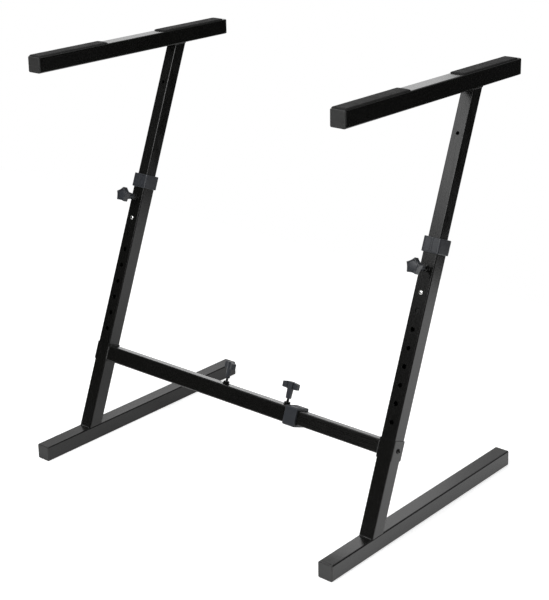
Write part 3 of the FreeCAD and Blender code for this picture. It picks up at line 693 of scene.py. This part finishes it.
# %% The star's rule
STAR_LOBES = 5
STAR_BITE = 36.0 * MM                    # radius of the circle that bites
STAR_DEPTH = 5.2 * MM
STAR_SOFT = 0.7 * MM
STAR_CORE = 0.5                          # share of the radius that stays round
STAR_TURN = math.radians(16)             # of the first hollow, from -X towards the foot


def soft_least(first, second, blend):
    """The smaller of two lengths, rounded off over the blend where they cross."""
    mixed = max(0.0, min(1.0, 0.5 + 0.5 * (second - first) / blend))
    return second + (first - second) * mixed - blend * mixed * (1 - mixed)


def star_rule(rim, first_hollow):
    bite_centre = rim + STAR_BITE - STAR_DEPTH
    core = rim * STAR_CORE
    pitch = math.tau / STAR_LOBES

    def rule(radius, turn, height):
        if radius <= core:
            return radius
        off = (turn - first_hollow + pitch / 2) % pitch - pitch / 2
        reach = STAR_BITE ** 2 - (bite_centre * math.sin(off)) ** 2
        allowed = rim
        if reach > 0:
            bitten = bite_centre * math.cos(off) - math.sqrt(reach)
            allowed = soft_least(bitten, rim, 2 * STAR_SOFT)
        return core + (radius - core) * (allowed - core) / (rim - core)

    return rule


knob_rim = span("left_star_knob", ACROSS) / 2
hollow = star_rule(knob_rim, 0.0)(knob_rim, 0.0, 0.0)
print("about", round(hollow / MM, 1), "mm from the middle to a hollow of the star")

# %% Make the two star knobs
STAR_HEAD = 15.0 * MM                    # thickness of the head
STAR_STEPS = 120
SCREW_HOLE = (4.0 * MM, 8.0 * MM)        # radius and depth
HUB_FOOT = 6.5 * MM                      # radii of the hub at its foot, halfway and at its root
HUB_WAIST = 7.6 * MM
HUB_ROOT = 9.6 * MM
HUB_ROUND = 0.6 * MM
HUB_WAIST_HEIGHT = 9.0 * MM
ROOT_FILLET = 2.5 * MM
UNDER_ROUND = 1.6 * MM
FACE_ROUND = 2.8 * MM
RIM_LEDGE = ((13.6, 0.0), (13.1, 0.3), (12.8, 1.5))        # radius and depth below the top, in mm
FACE_CROWN = ((6.0, 0.25), (3.0, 0.12), (0.0, 0.1))
FACE_SWELL = (12.3 * MM, 1.5 * MM)       # radius and rise of the swelling panel
FACE_SUNK = 1.6 * MM


def star_profile(base, top, rim):
    """The turning's half profile: the screw's hole, the hub, the head's rim and its face."""
    hole, deep = SCREW_HOLE
    foot = base + HUB_ROUND
    head = top - STAR_HEAD
    profile = [(hole, base + deep), (hole, foot)]
    profile += arc(HUB_FOOT - HUB_ROUND, foot, HUB_ROUND, -90, 0, 3)
    profile += [(HUB_WAIST, base + HUB_WAIST_HEIGHT), (HUB_ROOT, head - ROOT_FILLET)]
    profile += arc(HUB_ROOT + ROOT_FILLET, head - ROOT_FILLET, ROOT_FILLET, 180, 90, 4)
    profile += arc(rim - UNDER_ROUND, head + UNDER_ROUND, UNDER_ROUND, -90, 0)
    profile += arc(rim - FACE_ROUND, top - FACE_ROUND, FACE_ROUND, 0, 80, 7)
    profile += [(radius * MM, top - drop * MM) for radius, drop in RIM_LEDGE]
    reach, rise = FACE_SWELL
    swell = [math.radians(angle) for angle in range(0, 60, 12)]
    profile += [(reach * math.cos(a) ** 0.5, top - FACE_SUNK + rise * math.sin(a)) for a in swell]
    profile += [(radius * MM, top - drop * MM) for radius, drop in FACE_CROWN]
    return profile


def make_star_knob(side):
    node = side + "_star_knob"
    pivot = Vector(joints[side + "_knob_turn"]["pos_m"])
    base, top = (reach - pivot.dot(OUT_FRONT) for reach in extent(node, OUT_FRONT))
    rim = max(offset.length for offset in offsets_from(node, pivot, OUT_FRONT))
    bm = bmesh.new()
    spin_profile(bm, star_profile(base, top, rim), steps=STAR_STEPS)
    bmesh.ops.holes_fill(bm, edges=[edge for edge in bm.edges if edge.is_boundary], sides=0)
    press(bm, star_rule(rim, STAR_TURN))
    face_outwards(bm)
    bm.transform(stand_at(pivot, OUT_FRONT, -ACROSS))
    stand_for(bm, node, node + "_moulded", "knob_plastic")


for side in SIDES:
    make_star_knob(side)
print("star knob reach", round(span("left_star_knob", OUT_FRONT) / MM, 1), "mm")

# %% [markdown]
# ## Wing knobs
#
# The crossbar's two clamps have a wing: two thick vanes to twist with, on a tapered hub. The whole
# knob is one flat sheet of a few columns whose top follows the arch and whose bottom follows the
# vanes and the hub. The sheet is extruded, each column gets its own depth, so that the hub swells
# and a groove parts it from the vanes, and the outer edges are rounded.

# %% The wing's columns
WING_RISE = 16.0 * MM
WING_ARCH = 2.6 * MM                     # how far the top falls to a tip
WING_UNDER = 1.3 * MM                    # how far the underside rises to a tip
HUB_REACH = 0.27                         # places on the way from the middle to a tip
GROOVE_REACH = 0.37
VANE_REACHES = (0.47, 0.76, 1.0)
VANE_DEPTHS = (8.6 * MM, 10.4 * MM, 9.4 * MM)
GROOVE_DEPTH = 3.2 * MM
GROOVE_DROP = 0.4 * MM
WING_HUB_TOP = (11.4 * MM, 10.0 * MM)    # depths in the middle and at the hub's side
WING_HUB_FOOT = (11.0 * MM, 5.6 * MM)
WING_HUB_DROP = 0.1 * MM
WING_HUB_END = 5.6 * MM
WING_HUB_ROOT = 7.0 * MM


def wing_columns(half, base, top):
    """Top and bottom corners (x, z) and depth there of each column, from the middle to a tip."""
    low = top - WING_RISE
    hub_side = (half * HUB_REACH, top - WING_HUB_DROP)
    groove = (half * GROOVE_REACH, top - GROOVE_DROP)
    columns = [
        ((0, top), (0, base), WING_HUB_TOP[0], WING_HUB_FOOT[0]),
        (hub_side, (WING_HUB_END, base), WING_HUB_TOP[1], WING_HUB_FOOT[1]),
        (groove, (WING_HUB_ROOT, low), GROOVE_DEPTH, GROOVE_DEPTH),
    ]
    for reach, depth in zip(VANE_REACHES, VANE_DEPTHS):
        upper = (half * reach, top - WING_ARCH * reach ** 2)
        lower = (half * reach, low + WING_UNDER * reach)
        columns.append((upper, lower, depth, depth))
    return columns


def wing_direction(node, pivot):
    """The horizontal direction of a wing knob's bar, found from its farthest vertices."""
    offsets = offsets_from(node, pivot, ALONG_LEG)
    far = max(offset.length for offset in offsets)
    tips = [offset for offset in offsets if offset.length > far - NEARLY / 2 and offset.x > 0]
    return sum(tips, Vector()).normalized()


print("columns from the middle to a tip:", len(wing_columns(1.0, 0.0, 1.0)))

# %% Make the two wing knobs
WING_ROUND = 1.1 * MM
WING_SEGMENTS = 4


def make_wing_knob(name):
    node = name + "_wing_knob"
    pivot = Vector(joints[name + "_knob_turn"]["pos_m"])
    base, top = (reach - pivot.dot(ALONG_LEG) for reach in extent(node, ALONG_LEG))
    sideways = wing_direction(node, pivot)
    half = max(abs(reach - pivot.dot(sideways)) for reach in extent(node, sideways))
    columns = wing_columns(half, base, top)
    last = len(columns) - 1
    bm = bmesh.new()
    bmesh.ops.create_grid(bm, x_segments=2 * last, y_segments=1, size=1)
    front = list(bm.verts)
    back = bmesh.ops.extrude_face_region(bm, geom=bm.faces[:], use_keep_orig=True)
    back = [item for item in back["geom"] if isinstance(item, bmesh.types.BMVert)]
    for verts, sign in ((front, -1), (back, 1)):
        for vertex in verts:
            number = round(vertex.co.x * last)
            upper, lower, upper_depth, lower_depth = columns[abs(number)]
            corner, depth = (upper, upper_depth) if vertex.co.y > 0 else (lower, lower_depth)
            vertex.co = Vector((math.copysign(corner[0], number), sign * depth / 2, corner[1]))
    face_outwards(bm)
    rims = [edge for edge in bm.edges if edge.calc_face_angle_signed() > CUT_EDGE_ANGLE]
    round_off(bm, rims, WING_ROUND, WING_SEGMENTS, clamp=True)
    face_outwards(bm)
    bm.transform(stand_at(pivot, ALONG_LEG, sideways))
    stand_for(bm, node, node + "_moulded", "knob_plastic")


for name in ("end", "middle"):
    make_wing_knob(name)

# %% [markdown]
# ## Nuts, bolts and screws
#
# A real nut is a hexagon bar whose corners are turned off at a slant, which leaves curved chamfers
# on its flats. Pressing a turned ring to the smaller of the hexagon and the cone gives just those
# curves. A screw is a finely ringed cylinder pressed to a helix. The sleeve bolt has a domed button
# head with a hexagon socket.

# %% Make the nuts
NUT_BORE = 0.31                          # radii, as shares of the width across flats
NUT_BLANK = 0.55
NUT_PRESSED = 0.45
NUT_SINK = 0.5 * MM
NUT_CHAMFER = 0.9 * MM
NUT_SLOPE = 1.5
NUT_RINGS = 12


def nut_rule(across, rise):
    corner = across / math.sqrt(3)

    def rule(radius, turn, height):
        if radius < across * NUT_PRESSED:
            return radius
        near_end = max(0.0, NUT_CHAMFER - min(height, rise - height))
        return min(hexagon_radius(across, turn), corner - near_end * NUT_SLOPE)

    return rule


def make_nut(node, along, sideways):
    across = min(span(node, sideways), span(node, along.cross(sideways)))
    rise = span(node, along)
    bore = NUT_BORE * across
    profile = [(bore + NUT_SINK, 0)]
    profile += [(across * NUT_BLANK, rise * ring / NUT_RINGS) for ring in range(NUT_RINGS + 1)]
    profile += [(bore + NUT_SINK, rise), (bore, rise - NUT_SINK), (bore, NUT_SINK), profile[0]]
    bm = bmesh.new()
    spin_profile(bm, profile)
    press(bm, nut_rule(across, rise))
    face_outwards(bm)
    set_on_foot(bm, node, along, sideways)
    stand_for(bm, node, node + "_threaded", "powder_coat")


for side, sign in SIDES.items():
    make_nut(side + "_height_nut", OUT_FRONT, ACROSS)
    make_nut(side + "_sleeve_nut", -ACROSS * sign, OUT_FRONT)
for name in ("end", "middle"):
    make_nut(name + "_width_nut", ALONG_LEG, ACROSS)

# %% Cut the threads on the clamp screws
M8_PITCH = 1.25 * MM
M6_PITCH = 1.0 * MM
THREAD_DEPTH = 0.6                       # share of the pitch
THREAD_RINGS = 6                         # rings to a pitch
THREAD_STEPS = 32
THREAD_CORE = 0.7


def thread_rule(half, pitch):
    def rule(radius, turn, height):
        if radius < half * THREAD_CORE:
            return radius
        phase = (height / pitch - turn / math.tau) % 1.0
        return half - THREAD_DEPTH * pitch * (1 - abs(2 * phase - 1))

    return rule


def make_clamp_screw(node, along, pitch):
    half = span(node, ACROSS) / 2
    run = span(node, along)
    rings = int(run / pitch * THREAD_RINGS)
    side = [(half, run * ring / rings) for ring in range(rings + 1)]
    bm = bmesh.new()
    spin_profile(bm, [(0, 0)] + side + [(0, run)], steps=THREAD_STEPS)
    press(bm, thread_rule(half, pitch))
    face_outwards(bm)
    set_on_foot(bm, node, along, ACROSS)
    stand_for(bm, node, node + "_threaded", "black_oxide")


for side in SIDES:
    make_clamp_screw(side + "_height_screw", OUT_FRONT, M8_PITCH)
for name in ("end", "middle"):
    make_clamp_screw(name + "_width_screw", ALONG_LEG, M6_PITCH)

# %% Make the sleeve bolts
SHANK_RADIUS = 3.0 * MM
SHANK_POINT = 0.4 * MM
HEAD_UNDERCUT = 0.3 * MM
HEAD_RIM = 0.9 * MM                      # height at which the dome starts
SOCKET_ACROSS = 4.0 * MM
SOCKET_DEEP = 2.0 * MM
SOCKET_CONE = 0.4 * MM
SOCKET_MOUTH = (2.35 * MM, 0.12 * MM)    # radius and depth of the mouth's outer edge
SOCKET_EDGE = 0.3 * MM
SOCKET_NEAR = 0.53                       # rings inside this share of the width are the socket's


def bolt_profile(reach, rise, half):
    """A bolt's half profile: its point, the shank, the domed head and the round of its socket."""
    dome = [math.radians(angle) for angle in range(0, 61, 10)]
    socket = SOCKET_ACROSS / 2
    mouth, lip = SOCKET_MOUTH
    profile = [
        (0, -reach),
        (SHANK_RADIUS - SHANK_POINT, -reach),
        (SHANK_RADIUS, SHANK_POINT - reach),
        (SHANK_RADIUS, 0),
        (half - HEAD_UNDERCUT, 0),
    ]
    profile += [(half * math.cos(a), HEAD_RIM + (rise - HEAD_RIM) * math.sin(a)) for a in dome]
    profile += [
        (mouth, rise - lip),
        (socket, rise - SOCKET_EDGE),
        (socket, rise - SOCKET_DEEP),
        (0, rise - SOCKET_DEEP - SOCKET_CONE),
    ]
    return profile


def socket_rule(lowest):
    def rule(radius, turn, height):
        in_socket = radius < SOCKET_ACROSS * SOCKET_NEAR and height > lowest
        return hexagon_radius(SOCKET_ACROSS, turn) if in_socket else radius

    return rule


def make_sleeve_bolt(side, sign):
    node = side + "_sleeve_bolt"
    outward = ACROSS * sign
    low, high = extent(node, outward)
    head = extent(side + "_sleeve", outward)[1]
    rise = high - head
    half = span(node, OUT_FRONT) / 2
    bm = bmesh.new()
    spin_profile(bm, bolt_profile(head - low, rise, half))
    press(bm, socket_rule(rise - SOCKET_DEEP - NEARLY))
    face_outwards(bm)
    place = middle(node, outward, ALONG_LEG)
    place.x = head * sign
    bm.transform(stand_at(place, outward, ALONG_LEG))
    stand_for(bm, node, node + "_head", "black_oxide")


for side, sign in SIDES.items():
    make_sleeve_bolt(side, sign)

# %% [markdown]
# ## Snap buttons
#
# The bright dot below each star knob is the domed pin of a spring button. It locks the inner tube at
# one of eight holes. It is turned in one go, from its foot on the spring to its crown.

# %% Make the two snap buttons
BUTTON_DOME = 1.9 * MM
BUTTON_EDGE = 0.3 * MM
BUTTON_STEPS = 48


def make_snap_button(side):
    node = side + "_snap_button"
    pin = span(node, ACROSS) / 2
    rise = span(node, OUT_FRONT)
    dome = [math.radians(angle) for angle in range(0, 90, 10)]
    profile = [(0, 0)] + arc(pin - BUTTON_EDGE, BUTTON_EDGE, BUTTON_EDGE, -90, 0, 2)
    profile += [(pin * math.cos(a), rise - BUTTON_DOME + BUTTON_DOME * math.sin(a)) for a in dome]
    profile.append((0, rise))
    bm = bmesh.new()
    spin_profile(bm, profile, steps=BUTTON_STEPS)
    set_on_foot(bm, node, OUT_FRONT, ACROSS)
    stand_for(bm, node, node + "_turned", "bright_zinc")


for side in SIDES:
    make_snap_button(side)

# %% [markdown]
# ## Pads
#
# Each arm carries two strips of foam rubber with a moulded skin. The strip is flat where it is glued
# down, crowned by half a millimetre along its middle, and its long edges and ends roll down to the
# tube. A block is cut into many short lengths and shaped by moving its vertices down from the crown.

# %% Make the four pads
PAD_EDGE = 3.2 * MM
PAD_ROLL = 0.72                          # share of the thickness that an edge rolls down
PAD_CROWN = 0.5 * MM
PAD_SLACK = 0.06 * MM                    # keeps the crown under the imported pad's top
PAD_CUTS_LONG = 110
PAD_CUTS_WIDE = 22
WAVER_DEPTH = 0.05 * MM
WAVER_LONG = 95.0                        # radians to a metre
WAVER_WIDE = 240.0


def roll_off(distance):
    """How far a rounded edge has dropped at a distance in from it, as a share of its radius."""
    inside = max(0.0, min(1.0, distance / PAD_EDGE))
    return 1 - math.sqrt(max(0.0, 1 - (1 - inside) ** 2))


def cut_along(bm, axis, least, cuts):
    """Cuts every edge that runs along an axis for more than the least length."""
    runs = [edge for edge in bm.edges if abs(edge.verts[0].co[axis] - edge.verts[1].co[axis]) > least]
    bmesh.ops.subdivide_edges(bm, edges=runs, cuts=cuts, use_grid_fill=True)


def make_arm_pad(node):
    low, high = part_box(node)
    size = high - low
    centre = (low + high) / 2
    bm = bmesh.new()
    bmesh.ops.create_cube(bm, size=1, matrix=Matrix.Translation(centre) @ Matrix.Diagonal((*size, 1)))
    cut_along(bm, 1, size.y / 2, PAD_CUTS_LONG)
    cut_along(bm, 0, size.x / 2, PAD_CUTS_WIDE)
    for vertex in bm.verts:
        if vertex.co.z < high.z - NEARLY:
            continue
        from_side = min(vertex.co.x - low.x, high.x - vertex.co.x)
        from_end = min(vertex.co.y - low.y, high.y - vertex.co.y)
        drop = max(roll_off(from_side), roll_off(from_end)) * size.z * PAD_ROLL
        crown = PAD_CROWN * ((vertex.co.x - centre.x) / (size.x / 2)) ** 2
        waver = math.sin(vertex.co.y * WAVER_LONG) * math.sin(vertex.co.x * WAVER_WIDE + 1)
        vertex.co.z -= drop + crown + PAD_SLACK + WAVER_DEPTH * waver
    face_outwards(bm)
    piece = stand_for(bm, node, node + "_skin", "pad_rubber")


for side in SIDES:
    for end in ("front", "rear"):
        make_arm_pad(side + "_" + end + "_pad")

# %% [markdown]
# ## Weld beads
#
# The tubes are joined by short runs of weld, painted over with the rest. A bead is a thin round bar
# whose rings swell and shrink with each pulse of the torch and close down at its ends. It lies along
# the joint line, partly sunk in the tubes. It hides nothing, but without it the joints look pasted.

# %% Helpers for weld beads
BEAD_PULSE = 2.1 * MM
BEAD_RINGS = 4                           # rings to a pulse
BEAD_LEAST = 8
BEAD_STEPS = 12
BEAD_RIPPLE = 0.09                       # shares of the radius: with each pulse
BEAD_DRIFT = 0.05                        # and more slowly, as the hand drifts
DRIFT_TURN = 31.0                        # radians from end to end


def bead_profile(run, radius, phase):
    rings = max(BEAD_LEAST, int(run / (BEAD_PULSE / BEAD_RINGS)))
    profile = [(0, 0)]
    for share in (ring / rings for ring in range(1, rings)):
        from_end = min(share, 1 - share) * run
        close = math.sqrt(min(1.0, from_end / radius))
        ripple = BEAD_RIPPLE * math.sin(math.tau * share * run / BEAD_PULSE)
        drift = BEAD_DRIFT * math.sin(DRIFT_TURN * share + phase)
        profile.append((radius * close * (1 + ripple + drift), share * run))
    profile.append((0, run))
    return profile


def add_bead(bm, centre, direction, half, radius):
    """A rippled bead that reaches half its length each way from a centre."""
    start = centre - direction * half
    part = bmesh.new()
    spin_profile(part, bead_profile(2 * half, radius, start.x), steps=BEAD_STEPS)
    part.transform(stand_at(start, direction, direction.orthogonal().normalized()))
    mesh = bpy.data.meshes.new("bead")
    part.to_mesh(mesh)
    part.free()
    bm.from_mesh(mesh)
    bpy.data.meshes.remove(mesh)


def finish_beads(bm, name, body):
    finish_piece(bm, name, "powder_coat", body)


print("a 30 mm bead has", len(bead_profile(30.0 * MM, 2.0 * MM, 0.0)), "rings")

# %% Helper for the nuts' tacks
TACK_HALF = 3.2 * MM
TACK_BEAD = 1.4 * MM


def weld_nuts(name, nodes, body, along, sideways):
    """Two short tacks beside each nut."""
    bm = bmesh.new()
    for node in nodes:
        foot = foot_of(node, along, sideways)
        away = span(node, along.cross(sideways)) / 2
        for shift in (-away, away):
            add_bead(bm, foot + along.cross(sideways) * shift, sideways, TACK_HALF, TACK_BEAD)
    finish_beads(bm, name, body)


# %% Weld the feet, the arms, the crossbar and the nuts
FOOT_BEAD = 2.6 * MM
ARM_BEAD = 2.2 * MM
ARM_SIDE_BEAD = 0.8 * ARM_BEAD
BAR_BEAD = 2.2 * MM
FOOT_BEAD_SHORT = 0.6 * TUBE_CORNER      # how far a bead stops short of a tube's side
BAR_BEAD_SHORT = 0.5 * TUBE_CORNER
LEAN = math.acos(ALONG_LEG.z)


def leg_axis_at(side, height):
    """The point on a leg's axis at a height above the floor."""
    centre = middle(side + "_leg_tube", ALONG_LEG, ACROSS)
    return centre + ALONG_LEG * ((height - centre.z) / ALONG_LEG.z)


def weld_foot(side):
    base = leg_axis_at(side, FOOT_TOP)
    half = OUTER_SIDE / 2 - FOOT_BEAD_SHORT
    away = OUTER_SIDE / 2 / math.cos(LEAN)
    bm = bmesh.new()
    for shift in (-away, away):
        add_bead(bm, base + BACK * shift, ACROSS, half, FOOT_BEAD)
    finish_beads(bm, side + "_foot_weld", side + "_frame")


def weld_arm(side):
    top = leg_axis_at(side, extent(side + "_arm_tube", UP)[0])
    half = INNER_SIDE / 2
    away = half / math.cos(LEAN)
    bm = bmesh.new()
    for shift in (-away, away):
        add_bead(bm, top + BACK * shift, ACROSS, half, ARM_BEAD)
    for shift in (-half, half):
        add_bead(bm, top + ACROSS * shift, BACK, away, ARM_SIDE_BEAD)
    finish_beads(bm, side + "_arm_weld", side + "_upper")


def weld_bar(side, sign, tube):
    sleeve = side + "_sleeve"
    centre = middle(sleeve, ALONG_LEG, ACROSS) - ACROSS * sign * span(sleeve, ACROSS) / 2
    half = span(tube, OUT_FRONT) / 2
    bm = bmesh.new()
    for first, second in ((ALONG_LEG, OUT_FRONT), (OUT_FRONT, ALONG_LEG)):
        for shift in (-half, half):
            add_bead(bm, centre + first * shift, second, half - BAR_BEAD_SHORT, BAR_BEAD)
    finish_beads(bm, side + "_bar_weld", side + "_frame")


for side, sign in SIDES.items():
    weld_foot(side)
    weld_arm(side)
    weld_bar(side, sign, "crossbar_outer_tube" if side == "left" else "crossbar_inner_tube")
    weld_nuts(side + "_nut_weld", [side + "_height_nut"], side + "_frame", OUT_FRONT, ALONG_LEG)
weld_nuts("bar_nut_weld", ["end_width_nut", "middle_width_nut"], "left_frame", ALONG_LEG, OUT_FRONT)

# %% [markdown]
# ## The hidden pieces
#
# The glide plugs, nylon tips and button springs stay inside the tubes. Their CAD solids are already
# the right shape, so they only take a finish.

# %% Finish the nodes that stay
HIDDEN_SLOTS = ("nylon", "spring_steel")             # each has a finish of the same name
hidden = [node for node in frame["nodes"] if slot_of_node[node] in HIDDEN_SLOTS]
for node in hidden:
    for material_slot in frame["nodes"][node].material_slots:
        material_slot.material = finishes[slot_of_node[node]]
print("hidden nodes:", hidden)

# %% [markdown]
# ## The floor
#
# The photograph is a cut-out on white. In it the sides of the feet and legs mirror a pale floor, and
# the arms mirror the dark beyond it. So the floor here is a pale sheet. It is white to the camera,
# as the sky is, so its edge doesn't show. In reflections it glows by place: more to the right, for
# the legs' sides, and in its back left part, for the tilted top of the crossbar. Is Glossy Ray keeps
# that glow out of the light that falls on the stand.

# %% Make the floor
FLOOR_LEFT = -2.6
FLOOR_RIGHT = 2.6
FLOOR_FRONT = -2.4
FLOOR_BACK = 1.25
FLOOR_SUNK = 0.2 * MM
FLOOR_PAPER = (0.80, 0.80, 0.80, 1)
FLOOR_TO_CAMERA = 0.60                   # light of its own, for the camera only
WHITE = (1, 1, 1, 1)
GLOW_RIGHTWARDS = ((-0.1, 1.0), (0.15, 0.85))        # places along X, and the glow at each
GLOW_BACKWARDS = ((0.5, 0.8), (0.0, 0.7))            # places along Y, and what is added at each
GLOW_LEFTWARDS = ((0.05, -0.25), (0.0, 1.0))         # places along X, and how much of that counts


def glow_by_place(tree):
    """The floor's brightness in reflections."""
    place = add_node(tree, "ShaderNodeTexCoord").outputs["Object"]
    split = add_node(tree, "ShaderNodeSeparateXYZ", Vector=place).outputs
    rightwards = carry(tree, split["X"], *GLOW_RIGHTWARDS)
    backwards = carry(tree, split["Y"], *GLOW_BACKWARDS)
    leftwards = carry(tree, split["X"], *GLOW_LEFTWARDS)
    return compute(tree, "MULTIPLY_ADD", backwards, leftwards, rightwards)


def make_floor_sheet():
    material = bpy.data.materials.new("floor_sheet")
    material.use_nodes = True
    tree = material.node_tree
    tree.nodes.clear()
    ray = tree.nodes.new("ShaderNodeLightPath").outputs
    mirrored = compute(tree, "MULTIPLY", ray["Is Glossy Ray"], glow_by_place(tree))
    seen = compute(tree, "MULTIPLY_ADD", ray["Is Camera Ray"], FLOOR_TO_CAMERA, mirrored)
    paper = add_node(tree, "ShaderNodeBsdfDiffuse", Color=FLOOR_PAPER)
    glow = add_node(tree, "ShaderNodeEmission", Color=WHITE, Strength=seen)
    both = tree.nodes.new("ShaderNodeAddShader")
    tree.links.new(paper.outputs["BSDF"], both.inputs[0])
    tree.links.new(glow.outputs["Emission"], both.inputs[1])
    add_node(tree, "ShaderNodeOutputMaterial", Surface=both.outputs["Shader"])
    return material


def make_floor():
    centre = ((FLOOR_LEFT + FLOOR_RIGHT) / 2, (FLOOR_FRONT + FLOOR_BACK) / 2, -FLOOR_SUNK)
    size = (FLOOR_RIGHT - FLOOR_LEFT, FLOOR_BACK - FLOOR_FRONT, 1, 1)
    place = Matrix.Translation(centre) @ Matrix.Diagonal(size)
    bm = bmesh.new()
    bmesh.ops.create_grid(bm, x_segments=1, y_segments=1, size=0.5, matrix=place)
    mesh = bpy.data.meshes.new("floor")
    bm.to_mesh(mesh)
    bm.free()
    mesh.materials.append(make_floor_sheet())
    floor = bpy.data.objects.new("floor", mesh)
    bpy.context.scene.collection.objects.link(floor)
    return floor


floor = make_floor()
print("floor", [round(value, 2) for value in floor.dimensions])

# %% [markdown]
# ## The sky
#
# The sky is white to the camera, which makes the cut-out's background. To the light that falls on
# the stand it is a plain grey room. To reflections it is a dark room with one pale backdrop at the
# back left, which shows in the tops of the arms and feet.

# %% Make the sky
SKY_ROOM = 0.30
SKY_GLOOM = 0.02
SKY_BACKDROP = 0.62
BACKDROP = Vector((-0.60, 0.72, 0.35)).normalized()
BACKDROP_SPREAD = (0.25, 0.85)           # cosines of the angles where it ends and is full


def add_sky(tree, strength):
    sky = add_node(tree, "ShaderNodeBackground", Color=WHITE, Strength=strength)
    return sky.outputs["Background"]


def choose_sky(tree, chosen, otherwise, sky):
    """The second sky where a ray's test is 1, or else the first."""
    mix = add_node(tree, "ShaderNodeMixShader", Fac=chosen)
    tree.links.new(otherwise, mix.inputs[1])
    tree.links.new(sky, mix.inputs[2])
    return mix.outputs["Shader"]


def backdrop_glow(tree):
    """How bright the mirrored room is in a direction."""
    towards = tree.nodes.new("ShaderNodeVectorMath")
    towards.operation = "DOT_PRODUCT"
    feed(tree, towards.inputs[0], add_node(tree, "ShaderNodeTexCoord").outputs["Generated"])
    feed(tree, towards.inputs[1], BACKDROP)
    cosine = towards.outputs["Value"]
    return carry(tree, cosine, BACKDROP_SPREAD, (SKY_GLOOM, SKY_BACKDROP), curve="SMOOTHSTEP")


def make_sky():
    world = bpy.data.worlds.new("sky")
    world.use_nodes = True
    bpy.context.scene.world = world
    tree = world.node_tree
    tree.nodes.clear()
    ray = tree.nodes.new("ShaderNodeLightPath").outputs
    mirrored = compute(tree, "MAXIMUM", ray["Is Glossy Ray"], ray["Is Transmission Ray"])
    room = add_sky(tree, SKY_ROOM)
    lit = choose_sky(tree, mirrored, room, add_sky(tree, backdrop_glow(tree)))
    whole = choose_sky(tree, ray["Is Camera Ray"], lit, add_sky(tree, 1.0))
    add_node(tree, "ShaderNodeOutputWorld", Surface=whole)


make_sky()
print("backdrop towards", [round(value, 2) for value in BACKDROP])

# %% [markdown]
# ## The lamps
#
# A wide key lamp hangs above the camera. A soft box on the left and a stronger one in front light
# the upright faces from high up. A panel behind and a large top light lift the far sides and the
# tops. All are large squares, so the thin rounded edges catch soft lines of light and no hard dots.

# %% Hang the lamps
MIDDLE = (0.0, 0.0, 0.45)
LAMPS = {
    # name: place, what it looks at, width in metres and power in watts
    "key": ((1.7, -2.8, 2.3), MIDDLE, 1.6, 16.0),
    "soft_box": ((-0.80, -1.60, 1.80), (0.2, 0.1, 0.7), 1.0, 8.5),
    "front_box": ((0.20, -2.2, 2.2), (0.2, 0.0, 0.5), 1.2, 36.0),
    "back_panel": ((-1.9, 2.2, 2.1), (0.0, 0.0, 0.8), 1.6, 8.0),
    "top_light": ((0.4, 0.6, 3.4), MIDDLE, 2.2, 20.0),
}


def hang_lamp(name, place, target, size, power):
    data = bpy.data.lights.new(name, "AREA")
    data.shape = "SQUARE"
    data.size = size
    data.energy = power
    lamp = bpy.data.objects.new(name, data)
    bpy.context.scene.collection.objects.link(lamp)
    aim = (Vector(target) - Vector(place)).to_track_quat("-Z", "Y")
    lamp.matrix_world = Matrix.Translation(place) @ aim.to_matrix().to_4x4()


for name, settings in LAMPS.items():
    hang_lamp(name, *settings)
bpy.context.scene.view_settings.view_transform = "Standard"
print("lamps:", list(LAMPS))
